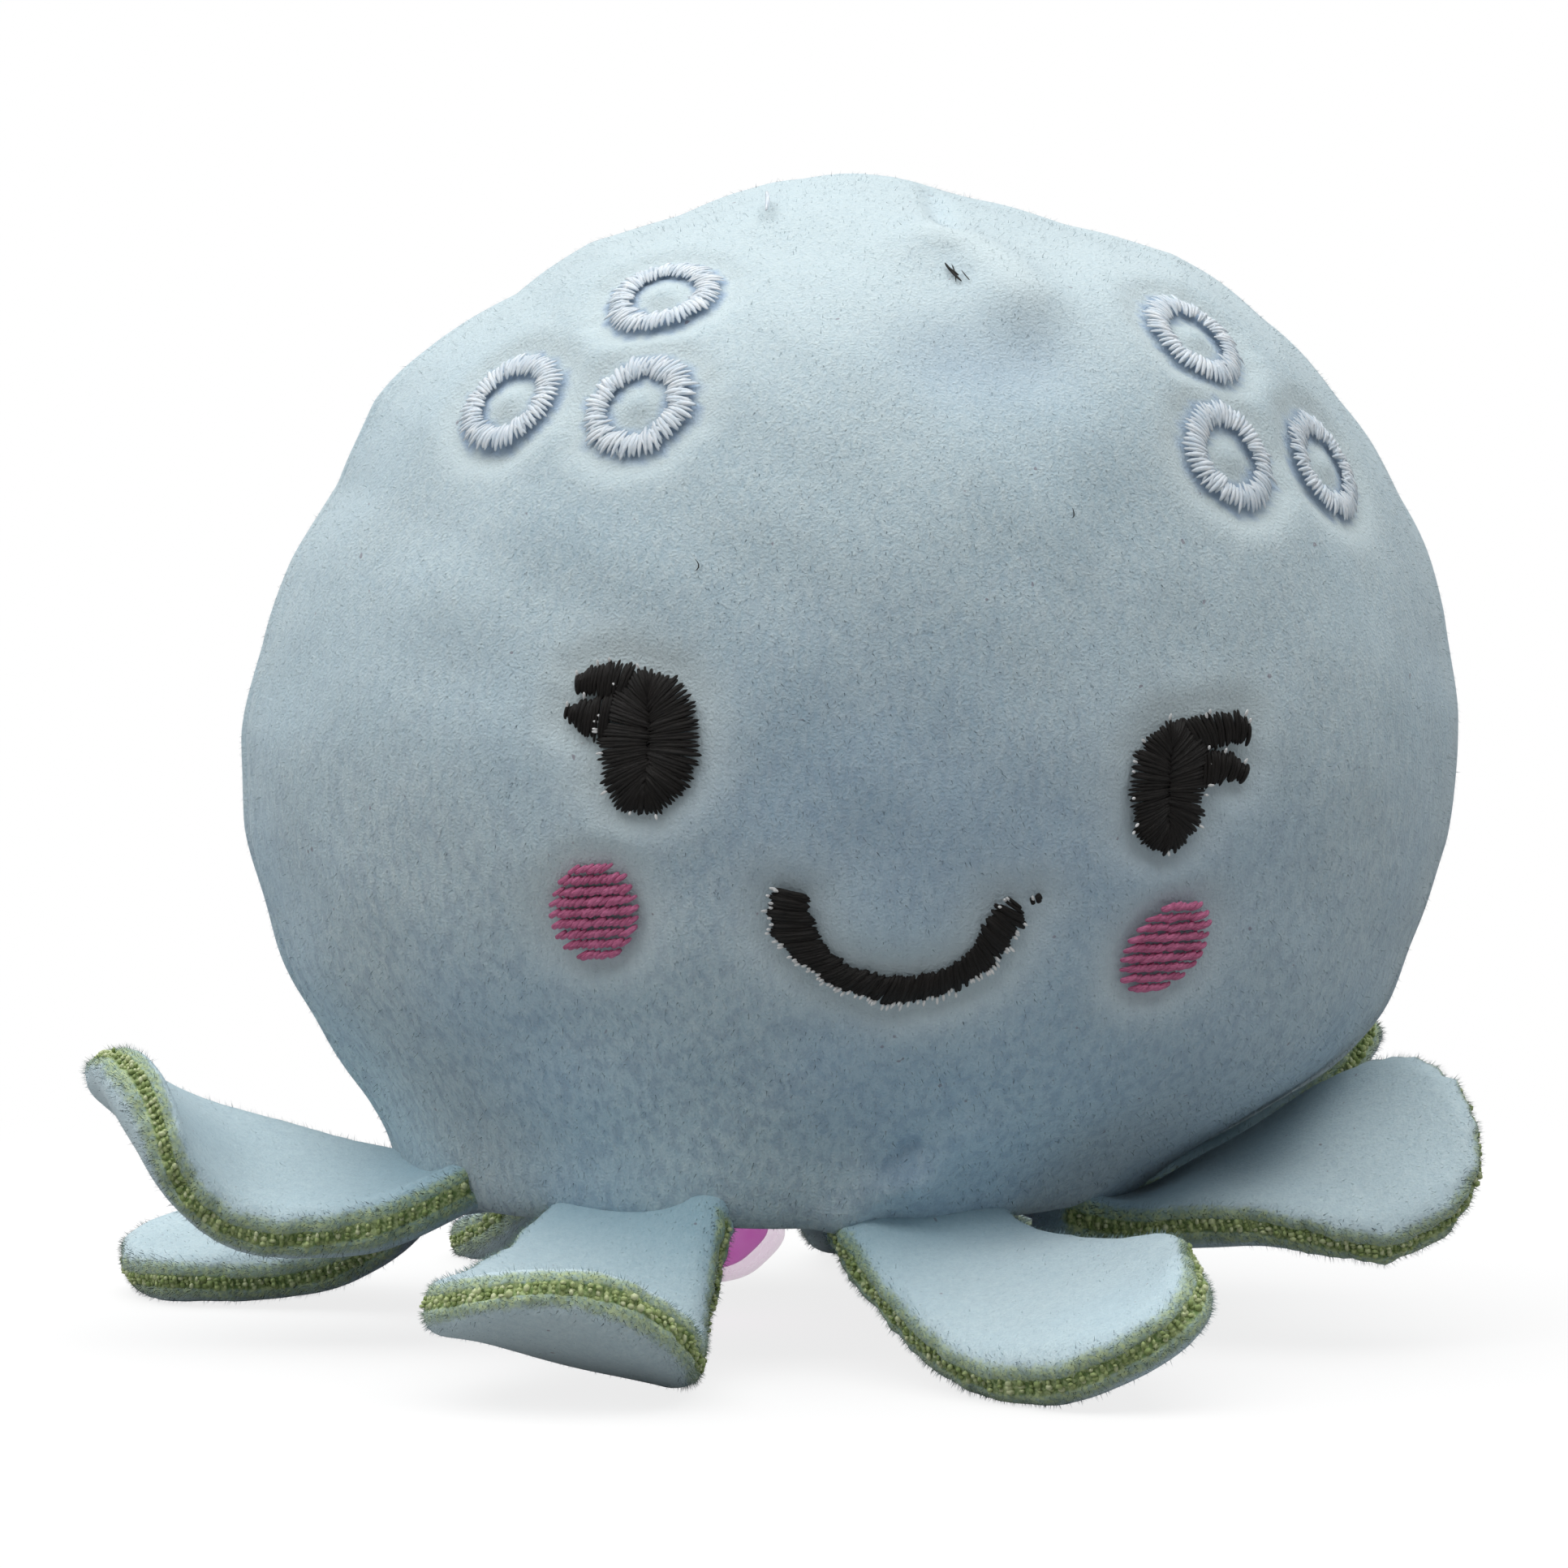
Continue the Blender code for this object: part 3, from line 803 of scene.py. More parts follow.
@dataclass(frozen=True)
class Satin:
    """Stitches between two edges, both drawn in millimetres round the patch's middle."""

    first: Points
    second: Points
    count: int
    width: float = 0.30
    ragged: float = 0.30
    slant: float = 0.0
    stray: float = 0.05

    def rows(self, rng: np.random.Generator) -> list[np.ndarray]:
        """Gives each stitch's two ends, from edge to edge."""
        sides = [resample(np.array(side, float), self.count + 1) for side in (self.first, self.second)]
        found = []
        for index in range(self.count + 1):
            other = int(np.clip(round(index + self.slant * self.count), 0, self.count))
            a, b = sides[0][index], sides[1][other]
            length = max(np.linalg.norm(b - a), 0.3)
            run = (b - a) / length
            ends = np.array((a - run * rng.uniform(0, self.ragged), b + run * rng.uniform(0, self.ragged)))
            found.append(ends + self.stray * rng.normal(size=(2, 2)))
        return found


def resample(line: np.ndarray, count: int) -> np.ndarray:
    """Reads a line at evenly spread places along its length."""
    along = np.concatenate(((0.0,), np.cumsum(np.linalg.norm(np.diff(line, axis=0), axis=1))))
    even = np.linspace(0.0, along[-1], count)
    return np.stack([np.interp(even, along, line[:, i]) for i in range(line.shape[1])], axis=1)


def circle(radius: float) -> list[tuple[float, float]]:
    """Gives the points of a closed circle in millimetres."""
    return [(radius * math.cos(turn), radius * math.sin(turn)) for turn in np.linspace(0.0, 2.0 * math.pi, 49)]


@dataclass(frozen=True)
class Motif:
    """One embroidered patch: where it is on the photograph, and its stitches."""

    name: str
    node: str
    slot: Slot
    middle: tuple[float, float]
    satins: tuple[Satin, ...]
    tilt: float = 0.0


LEFT_SPINE = ((-0.2, 3.0), (-0.1, 1.5), (-0.1, -0.5), (-0.3, -2.9))
LEFT_EYE = (
    Satin(
        (
            (-0.4, 4.5), (-1.6, 4.2), (-2.4, 3.4), (-3.0, 2.2), (-3.3, 0.9), (-3.2, -0.4), (-3.15, -1.5),
            (-2.9, -2.7), (-2.3, -3.9), (-1.5, -4.25), (-0.5, -4.35),
        ),
        LEFT_SPINE,
        44,
    ),
    Satin(
        (
            (-0.4, 4.5), (0.5, 4.25), (1.5, 4.0), (2.3, 3.1), (2.7, 2.2), (2.95, 1.1), (3.05, -0.5), (2.75, -1.8),
            (2.3, -2.9), (1.4, -3.7), (0.4, -4.25), (-0.5, -4.35),
        ),
        LEFT_SPINE,
        46,
    ),
    Satin(
        ((-2.6, 3.0), (-3.6, 2.8), (-4.6, 2.5), (-5.5, 2.2)),
        ((-2.9, 0.1), (-3.7, 0.2), (-4.8, 0.9), (-5.6, 1.7)),
        13,
    ),
    Satin(
        ((-1.2, 4.8), (-2.4, 5.0), (-3.6, 4.85), (-4.9, 4.2)),
        ((-1.9, 2.95), (-3.0, 2.9), (-3.9, 3.05), (-4.9, 3.2)),
        15,
    ),
)
RIGHT_SPINE = ((0.1, 2.6), (0.1, 1.0), (0.0, -1.0), (0.2, -2.9))
RIGHT_EYE = (
    Satin(
        (
            (0.2, 3.9), (-0.8, 3.4), (-1.4, 2.8), (-2.2, 2.1), (-2.5, 1.0), (-2.7, -0.7), (-2.45, -1.3), (-2.3, -2.5),
            (-2.1, -3.2), (-1.6, -3.7), (-0.7, -4.1), (0.0, -4.35),
        ),
        RIGHT_SPINE,
        42,
    ),
    Satin(
        (
            (0.2, 3.9), (1.6, 4.05), (2.7, 3.3), (3.0, 2.2), (2.95, 1.0), (2.75, -0.2), (2.5, -1.1), (2.8, -2.0),
            (2.3, -2.7), (1.66, -3.4), (0.8, -4.1), (0.0, -4.35),
        ),
        RIGHT_SPINE,
        44,
    ),
    Satin(((1.2, 4.1), (3.1, 4.35), (5.3, 4.4), (6.15, 3.8)), ((2.4, 2.3), (3.6, 2.3), (4.8, 2.5), (5.95, 2.6)), 16),
    Satin(((2.7, 2.1), (3.9, 1.95), (4.9, 1.8), (6.05, 1.0)), ((2.6, -0.35), (3.4, -0.1), (4.4, 0.3), (5.6, 0.2)), 13),
)
MOUTH = (
    Satin(
        (
            (-7.4, 4.8), (-8.0, 3.3), (-7.7, 1.9), (-6.0, 0.0), (-3.5, -1.6), (-0.4, -2.6), (1.5, -2.4), (3.9, -1.7),
            (6.0, -0.3), (7.5, 1.8), (8.0, 2.5),
        ),
        (
            (-5.6, 4.4), (-5.5, 3.5), (-5.3, 2.7), (-4.5, 1.1), (-2.9, -0.2), (-0.7, -0.8), (1.5, -0.9), (3.4, -0.3),
            (4.8, 0.9), (5.6, 2.6), (6.2, 3.6),
        ),
        96,
        0.34,
        0.26,
    ),
    Satin(((6.2, 3.6), (7.0, 4.1)), ((8.0, 2.7), (7.9, 3.4)), 3, 0.30, 0.2),
    Satin(((8.5, 4.1), (8.9, 4.35)), ((8.7, 3.7), (9.1, 3.95)), 2, 0.34, 0.1),
)
CHEEK_ROWS = 9
RING = (
    Satin(circle(3.75), circle(2.25), 60, 0.32, 0.42, 0.015),
    Satin(circle(3.45), circle(2.5), 40, 0.26, 0.45, -0.03),
)


def cheek_rows(width: float, height: float, slope: float) -> tuple[Satin, ...]:
    """Gives an oval cheek's rows, each a rope of short slanted stitches."""
    rows = []
    for index in range(CHEEK_ROWS):
        share = (index + 0.5) / CHEEK_ROWS * 2.0 - 1.0
        half = width / 2 * math.sqrt(1.0 - share**2)
        y = height / 2 * share
        count = max(4, round(half * 2 / 0.42))
        cuts = [-half + 2 * half * (step / count) for step in range(count + 1)]
        for a, b in zip(cuts, cuts[1:]):
            start = (a - 0.22, y + slope * a - 0.24)
            end = (b + 0.22, y + slope * b + 0.24)
            rows.append(Satin((start,), (end,), 0, 0.36, 0.10, 0.0, 0.04))
    return tuple(rows)


RINGS = {
    "left_upper": (815, 358),
    "left_outer": (624, 489),
    "left_inner": (784, 496),
    "right_upper": (1477, 411),
    "right_inner": (1520, 558),
    "right_outer": (1636, 570),
}
MOTIFS = (
    Motif("eye_left_stitches", "eye_left", Slot.BLACK, (800, 915), LEFT_EYE),
    Motif("eye_right_stitches", "eye_right", Slot.BLACK, (1442, 967), RIGHT_EYE),
    Motif("smile_stitches", "mouth", Slot.BLACK, (1104, 1190), MOUTH),
    Motif("cheek_left_stitches", "cheek_left", Slot.PINK, (730, 1125), cheek_rows(5.5, 6.3, 0.06), 0.0),
    Motif("cheek_right_stitches", "cheek_right", Slot.PINK, (1440, 1168), cheek_rows(5.3, 6.2, 0.30), -16.0),
    *(Motif(f"ring_{side}_stitches", f"ring_{side}", Slot.PALE, middle, RING) for side, middle in RINGS.items()),
)
NUB_SHARES = {"eye_left": 0.16, "eye_right": 0.16, "mouth": 0.85}


@dataclass
class Embroidery:
    """Every stitch of the face and the rings."""

    lens: Lens
    sunk: float = 0.55 * MM
    rise: float = 0.22 * MM
    float_height: float = 0.30 * MM
    seed: int = 21
    samples: list[Vector] = field(default_factory=list)
    pale_samples: list[Vector] = field(default_factory=list)
    stitches: dict[str, list[tuple]] = field(default_factory=dict)
    nubs: list[tuple] = field(default_factory=list)

    def lay(self, tree: BVHTree, base: Vector) -> None:
        """Lays each stitch's line on the smooth cover.

        Args:
            tree: The smooth cover.
            base: The middle of the toy's base.
        """
        rng = np.random.default_rng(self.seed)
        for motif in MOTIFS:
            middle, normal = tree.ray_cast(self.lens.eye(base), self.lens.ray(*motif.middle))[:2]
            right = Vector((0.0, 0.0, 1.0)).cross(-normal).normalized() * -1.0
            right = Matrix.Rotation(math.radians(motif.tilt), 3, normal) @ right
            up = normal.cross(right)

            def settle(x: float, y: float) -> tuple[Vector, Vector]:
                """Finds a patch point on the cover."""
                above = middle + right * (x * MM) + up * (y * MM) + normal * (8 * MM)
                return tree.ray_cast(above, -normal)[:2]

            made = []
            for satin in motif.satins:
                for a, b in satin.rows(rng):
                    (pa, _), (pb, _) = settle(*a), settle(*b)
                    pm, nm = settle(*((a + b) / 2))
                    made.append((pa, pm, pb, nm, satin.width * MM * rng.uniform(0.80, 1.30)))
                    steps = max(2, math.ceil((pb - pa).length / (0.4 * MM)))
                    line = [pa.lerp(pb, step / steps) for step in range(steps + 1)]
                    self.samples.extend(line)
                    if motif.slot is Slot.PALE:
                        self.pale_samples.extend(line)
                    if motif.slot is Slot.BLACK and rng.uniform() < NUB_SHARES[motif.node]:
                        self.nubs.append((pa, (pa - pm).normalized(), nm))
            self.stitches[motif.name] = made

    def build_motif(self, motif: Motif, material: bpy.types.Material) -> bpy.types.Object:
        """Builds the stitches of one patch.

        Args:
            motif: The patch.
            material: Its thread.

        Returns:
            The piece.
        """
        flat, taper = (0.45, 2.4) if motif.slot is Slot.PALE else (0.95, 5)

        def shape(own: np.ndarray, stitch: tuple) -> np.ndarray:
            """Bends one bead into a stitch that arches over the cover."""
            a, m, b, n = (np.array(v) for v in stitch[:4])
            along = own[:, 2]
            ring = own[:, :2] / np.maximum(np.hypot(own[:, 0], own[:, 1]), 1e-9)[:, None]
            length = max(np.linalg.norm(b - a), 1e-9)
            side = np.cross(n, (b - a) / length)
            arch = self.rise * np.clip(length / (1.5 * MM), 0.45, 1.0) * (1.0 - along**2)
            thick = stitch[4] / 2 * np.sqrt(clamp(1.0 - np.abs(along) ** taper))
            height = arch - self.sunk + self.float_height + ring[:, 1] * thick * flat
            line = curve((along + 1.0) / 2.0, a, m, b)
            return line + n * height[:, None] + side * (ring[:, 0] * thick)[:, None]

        made = self.stitches[motif.name]
        return build_strands(motif.name, made, shape, material, motif.slot, (motif.node,), self.seed)

    def build_nubs(self, material: bpy.types.Material) -> bpy.types.Object:
        """Builds the pale specks of the under thread at the dark patches' edges."""
        rng = np.random.default_rng(self.seed + 1)
        half_length, half_width, off = 0.30 * MM, 0.10 * MM, 0.50 * MM

        def shape(own: np.ndarray, nub: tuple) -> np.ndarray:
            """Turns one bead into a short speck that leans outwards."""
            p, o, n = (np.array(v) for v in nub)
            side = np.cross(n, o)
            size = rng.uniform(0.5, 1.0)
            p = p - o * rng.uniform(-0.10, 0.15) * MM + side * rng.uniform(-0.1, 0.1) * MM
            lean = rng.uniform(0.2, 0.7)
            run = o * math.cos(lean) + n * math.sin(lean)
            ring = np.outer(own[:, 0], side) + np.outer(own[:, 1], np.cross(run, side))
            return p + n * (off - self.sunk) + np.outer(own[:, 2] * half_length * size, run) + ring * half_width

        return build_strands("under_thread", self.nubs, shape, material, Slot.PALE, (), self.seed)


@dataclass(frozen=True)
class LooseThread:
    """A stray end of thread: its points on the photograph, how far it stands off, and its width."""

    points: Points
    slot: Slot
    off: float = 0.3
    width: float = 0.16


LOOSE_SEED = 91
LOOSE_THREADS = (
    LooseThread(((1163, 327), (1172, 338), (1186, 351)), Slot.BLACK, 0.25, 0.20),
    LooseThread(((1166, 333), (1178, 341), (1182, 344)), Slot.BLACK, 0.35, 0.12),
    LooseThread(((1172, 329), (1176, 340), (1178, 352)), Slot.BLACK, 0.25, 0.10),
    LooseThread(((1186, 336), (1192, 344), (1196, 349)), Slot.BLACK, 0.25, 0.08),
    LooseThread(((946, 272), (948, 259), (947, 248)), Slot.PALE, 0.7, 0.34),
    LooseThread(((857, 690), (862, 699), (856, 706)), Slot.BLACK, 0.25, 0.09),
    LooseThread(((1319, 627), (1321, 636), (1318, 640)), Slot.BLACK, 0.25, 0.08),
)


def build_loose_threads(cover: Cover, lens: Lens, material: bpy.types.Material, slot: Slot) -> bpy.types.Object:
    """Builds the stray thread ends of one colour.

    Args:
        cover: The cover that they lie on.
        lens: The photograph's camera.
        material: The thread's finish.
        slot: The colour.

    Returns:
        The piece.
    """

    def shape(own: np.ndarray, thread: LooseThread) -> np.ndarray:
        """Lays one bead along the thread's three points."""
        hits = [cover.hit(lens, *point) for point in thread.points]
        a, m, b = (np.array(place + normal * thread.off * MM) for place, normal in hits)
        run = unit((b - a)[None, :])[0]
        side = unit(np.cross(run, np.array(hits[1][1]))[None, :])[0]
        ring = np.outer(own[:, 0], side) + np.outer(own[:, 1], np.cross(side, run))
        return curve((own[:, 2] + 1.0) / 2.0, a, m, b) + ring * (thread.width / 2 * MM)

    chosen = [thread for thread in LOOSE_THREADS if thread.slot is slot]
    return build_strands(slot.value + "_ends", chosen, shape, material, slot, (), LOOSE_SEED)


def build_strands(
    name: str,
    items: Sequence,
    shape: Callable,
    material: bpy.types.Material,
    slot: Slot,
    nodes: tuple[str, ...],
    seed: int,
) -> bpy.types.Object:
    """Builds a piece of slim closed beads, one for each item.

    Args:
        name: The piece's name.
        items: What each bead is made from.
        shape: Gives a bead's vertices from the ball's, which runs along z from -1 to 1, and an item.
        material: The thread's finish.
        slot: Not used.
        nodes: The CAD nodes that it replaces.
        seed: The draws of the thread's map.

    Returns:
        The piece.
    """
    mesh, own = repeated(ball_of(6, 7), len(items))
    move_vertices(mesh, np.concatenate([shape(own, item) for item in items]))
    add_thread_map(mesh, own, len(items), seed)
    return finish_piece(name, mesh, material, slot, nodes)


def add_thread_map(mesh: bpy.types.Mesh, own: np.ndarray, count: int, seed: int) -> None:
    """Gives each stitch a UV map: round the thread, and along it."""
    rng = np.random.default_rng(seed)
    turn = np.arctan2(own[:, 1], own[:, 0]) / math.pi
    start = rng.uniform(0.0, 40.0, size=(count, 2))
    u = (np.abs(turn)[None, :] + start[:, :1]).ravel()
    v = (own[:, 2][None, :] + start[:, 1:]).ravel()
    layer = mesh.uv_layers.new(name="thread")
    corners = np.empty(len(mesh.loops), np.int32)
    mesh.loops.foreach_get("vertex_index", corners)
    layer.uv.foreach_set("vector", np.stack((u[corners], v[corners]), axis=1).astype(np.float32).ravel())


def finish_piece(
    name: str, mesh: bpy.types.Mesh, material: bpy.types.Material, slot: Slot, nodes: tuple[str, ...]
) -> bpy.types.Object:
    """Dresses a piece, fixes it to the toy and hides the solids it stands for.

    Args:
        name: The piece's name.
        mesh: Its mesh.
        material: Its finish.
        slot: Not used.
        nodes: The CAD nodes that it replaces.

    Returns:
        The piece.
    """
    mesh.shade_smooth()
    piece = add_object(name, mesh, material)
    fix_piece(piece, slot, nodes)
    return piece


def fix_piece(piece: bpy.types.Object, slot: Slot, nodes: tuple[str, ...]) -> None:
    """Fixes a piece to the toy and logs it."""
    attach(piece, BODY)
    if nodes:
        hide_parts(*nodes)
    log.info("%s: %d faces", piece.name, len(piece.data.polygons))


@dataclass(frozen=True)
class LegPose:
    """Four angles in degrees from a leg's root to its tip, each for climb, turn to the side and roll."""

    name: str
    climb: tuple[float, ...]
    turn: tuple[float, ...]
    roll: tuple[float, ...]


LEG_POSES = (
    LegPose("leg_front_left", (-33, -28, 22, 33), (-22, 24, 8, 7), (-5, -24, -17, 5)),
    LegPose("leg_front_right", (-17, -13, -12, 41), (0, 19, -4, 50), (-1, 11, 37, 17)),
    LegPose("leg_right_raised", (-4, 51, -1, -5), (9, 20, -17, 14), (-3, -8, 47, 47)),
    LegPose("leg_back_right_curled", (3, 22, 43, 48), (-2, -12, -10, -6), (2, 5, -8, -5)),
    LegPose("leg_back_inner", (-32, -24, 2, 0), (0, 4, 6, 4), (3, -6, 5, 4)),
    LegPose("leg_back_outer", (-34, -28, 0, 3), (0, -14, -16, -14), (-3, 7, -5, -6)),
    LegPose("leg_back_left", (-36, -4, -7, -16), (-10, -5, -7, 21), (-10, -50, 1, -11)),
    LegPose("leg_left_curled", (0, -12, 38, 68), (-13, -63, -10, 5), (7, -35, -11, -6)),
)


@dataclass
class Leg:
    """A petal leg of two plush layers back to back, cut and singed along the edge."""

    pose: LegPose
    angle: float
    base: Vector
    seed: int
    length: float = 0.0272
    root_width: float = 0.0126
    width: float = 0.0170
    tip: float = 0.0075
    thickness: float = 0.0038
    lip: float = 0.0018
    band: float = 0.0011
    ring_radius: float = 0.0223
    root_height: float = 0.0083
    root_lift: float = 0.0010
    root_reach: float = 0.0055
    inset: float = 0.0028
    hidden_taper: float = 0.45
    groove: float = 0.12 * MM
    ragged: float = 0.16 * MM
    ragged_length: float = 1.6 * MM
    floor: float = 0.2 * MM
    tilt: float = SEAM_TILT
    rows: int = 64
    columns: int = 34

    def half_width(self, share: np.ndarray) -> np.ndarray:
        """Gives the half width along the leg's length."""
        widest = 1.0 - self.tip / self.length
        rise = clamp(share / widest)
        petal = (self.root_width + (self.width - self.root_width) * rise**2 * (3 - 2 * rise)) / 2
        past = clamp((share - widest) / (1.0 - widest))
        inside = clamp(-share * self.length / self.inset)
        return petal * np.sqrt(clamp(1.0 - past**2)) * (1.0 - self.hidden_taper * inside**2)

    def flat(self) -> bpy.types.Mesh:
        """Builds the leg as it was cut: a flat slab whose edge is finely split, ready for the lips and the groove."""
        bm = bmesh.new()
        bmesh.ops.create_grid(bm, x_segments=self.rows, y_segments=self.columns, size=1.0)
        middle = 1.0 - self.tip / self.length
        hidden = self.inset / self.length
        body_rows = 0.62
        crowding = math.pi / 2 * 0.97
        for vert in bm.verts:
            share = (vert.co.x + 1.0) / 2.0
            if share < body_rows:
                x = share / body_rows * (middle + hidden) - hidden
            else:
                x = middle + (1.0 - middle) * math.sin((share - body_rows) / (1.0 - body_rows) * math.pi / 2)
            half = float(self.half_width(np.array(x)))
            vert.co = Vector((x * self.length, half * math.sin(vert.co.y * crowding) / math.sin(crowding), 0.0))
        bmesh.ops.remove_doubles(bm, verts=bm.verts, dist=2e-6)
        raised = bmesh.ops.extrude_face_region(bm, geom=bm.faces[:])["geom"]
        tops = [part for part in raised if isinstance(part, bmesh.types.BMVert)]
        bmesh.ops.translate(bm, verts=tops, vec=(0.0, 0.0, self.band))
        bmesh.ops.translate(bm, verts=bm.verts, vec=(0.0, 0.0, -self.band / 2))
        upright = [edge for edge in bm.edges if abs(edge.verts[0].co.z - edge.verts[1].co.z) > self.band / 2]
        bmesh.ops.subdivide_edges(bm, edges=upright, cuts=3, use_grid_fill=True)
        bmesh.ops.recalc_face_normals(bm, faces=bm.faces)
        return mesh_of(bm, self.pose.name)

    def puff(self, places: np.ndarray) -> tuple[np.ndarray, dict[str, np.ndarray]]:
        """Rounds the lips, sinks the groove and says how singed each point is.

        Args:
            places: The flat leg's vertices.

        Returns:
            The new places, and the masks for the finish, the fringe and the beads.
        """
        rng = np.random.default_rng(self.seed)
        x, y, z = places.T
        half = self.half_width(x / self.length)
        tip_start = self.length - self.tip
        ratio = self.tip / (self.width / 2)
        reach = self.width / 2 - np.hypot(np.maximum(x - tip_start, 0.0) / ratio, y)
        rim = np.where(x > tip_start, reach, half - np.abs(y))
        rim = np.maximum(rim, 0.0)
        layer = np.abs(np.abs(z) - self.band / 2) < 1e-6
        soft = np.sqrt(1.0 - (1.0 - clamp(rim / self.lip)) ** 2)
        full = self.band / 2 + (self.thickness / 2 - self.band / 2) * soft
        plump = 1.0 + 0.10 * waves(places * (1.0, 1.0, 40.0), 9 * MM, self.seed)
        height = np.where(layer, np.sign(z) * full * plump, z)
        depth = np.where(layer, 0.0, self.groove + self.groove * rng.uniform(-1, 1, len(x)))
        ragged = self.ragged * waves(places, self.ragged_length, self.seed + 3)
        outward = np.stack((np.maximum(x - tip_start, 0.0), y), axis=1)
        outward = outward / np.maximum(np.linalg.norm(outward, axis=1, keepdims=True), 1e-9)
        shifted = np.stack((x, y), axis=1) + outward * (ragged * bell(rim, 0.8 * MM) - depth)[:, None]
        masks = {
            "scorch": np.where(layer, 0.66 * bell(rim, 0.62 * MM), 1.0) * clamp(x / MM + 1.0),
            "fringe": np.where(layer, bell(rim - 0.15 * MM, 0.45 * MM), 0.0),
            "beaded": np.where(layer, 0.0, 1.0) * (x > -0.5 * MM),
            # painted shade near the root, where the body shades the leg
            "crease_shade": 0.8 * bell(np.maximum(x, 0.0), 6.5 * MM),
        }
        return np.column_stack((shifted, height)), masks

    def blend(self, values: tuple[float, ...], share: float) -> float:
        """Reads a Bezier curve of four values."""
        rest = 1.0 - share
        a, b, c, d = values
        return a * rest**3 + 3 * b * share * rest**2 + 3 * c * share**2 * rest + d * share**3

    def frames(self, steps: int = 60) -> np.ndarray:
        """Walks along the bent leg: place, along, across and up at each step."""
        place = Vector((math.sin(self.angle) * self.ring_radius, -math.cos(self.angle) * self.ring_radius, 0.0))
        place.z = self.root_height - place.x * math.tan(self.tilt)
        found = []
        for step in range(steps + 1):
            share = step / steps
            heading = self.angle + math.radians(self.blend(self.pose.turn, share))
            climb = math.radians(self.blend(self.pose.climb, share))
            level = Vector((math.sin(heading), -math.cos(heading), 0.0))
            along = level * math.cos(climb) + Vector((0.0, 0.0, math.sin(climb)))
            across = Vector((math.cos(heading), math.sin(heading), 0.0))
            across = Matrix.Rotation(math.radians(self.blend(self.pose.roll, share)), 3, along) @ across
            found.append((*(place + self.base), *along, *across, *(along.cross(across))))
            place = place + along * (self.length / steps)
        return np.array(found)

    def build(self, material: bpy.types.Material) -> bpy.types.Object:
        """Builds the bent leg.

        Args:
            material: The plush.

        Returns:
            The leg.
        """
        mesh = self.flat()
        places, masks = self.puff(coordinates(mesh))
        frames = self.frames()
        walk = clamp(places[:, 0] / self.length) * (len(frames) - 1)
        steps = np.arange(len(frames))
        read_at = np.stack([np.interp(walk, steps, frames[:, i]) for i in range(12)], axis=1)
        middle, across, up = read_at[:, 0:3], unit(read_at[:, 6:9]), unit(read_at[:, 9:12])
        middle = middle + read_at[:, 3:6] * np.minimum(places[:, 0:1], 0.0)
        bent = middle + across * places[:, 1:2] + up * places[:, 2:3]
        bent[:, 2] += self.root_lift * clamp(1.0 - places[:, 0] / self.root_reach) ** 1.7
        low = bent[:, 2] < self.floor
        bent[low, 2] = self.floor + (bent[low, 2] - self.floor) * 0.05
        bent[:, 2] = np.maximum(bent[:, 2], 0.0)
        move_vertices(mesh, bent)
        for key, values in masks.items():
            store(mesh, key, values)
        piece = finish_piece(self.pose.name + "_plush", mesh, material, Slot.PLUSH, (self.pose.name,))
        return piece


@dataclass
class EdgeBeads:
    """The melted beads in the groove between a leg's two layers."""

    seed: int = 71
    share: float = 1.0
    radius: float = 0.21 * MM

    def build(self, legs: list[bpy.types.Object], material: bpy.types.Material) -> bpy.types.Object:
        """Builds all legs' beads.

        Args:
            legs: The legs.
            material: The beads' finish.

        Returns:
            The piece.
        """
        rng = np.random.default_rng(self.seed)
        meshes = [leg.data for leg in legs]
        rows = [np.column_stack((coordinates(m), vertex_normals(m), read(m, "beaded"))) for m in meshes]
        data = np.concatenate(rows)
        data = data[(data[:, 6] > 0.5) & (rng.uniform(size=len(data)) < self.share)]
        bm = bmesh.new()
        bmesh.ops.create_icosphere(bm, subdivisions=1, radius=1.0)
        mesh, own = repeated(bm, len(data))
        each = (len(data), 1, 1)
        size = self.radius * rng.uniform(0.6, 1.35, size=(len(data), 1, 3)) * rng.uniform(0.8, 1.15, size=each)
        middle = data[:, None, :3] + data[:, None, 3:6] * rng.uniform(0.0, 0.16, size=each) * MM
        places = middle + own[None, :, :] * size
        places[:, :, 2] = np.maximum(places[:, :, 2], FLOOR_GAP)
        move_vertices(mesh, places.reshape(-1, 3))
        store(mesh, "shade", np.repeat(rng.uniform(0.0, 1.0, len(data)), len(own)))
        return finish_piece("edge_beads", mesh, material, Slot.PLUSH, ())


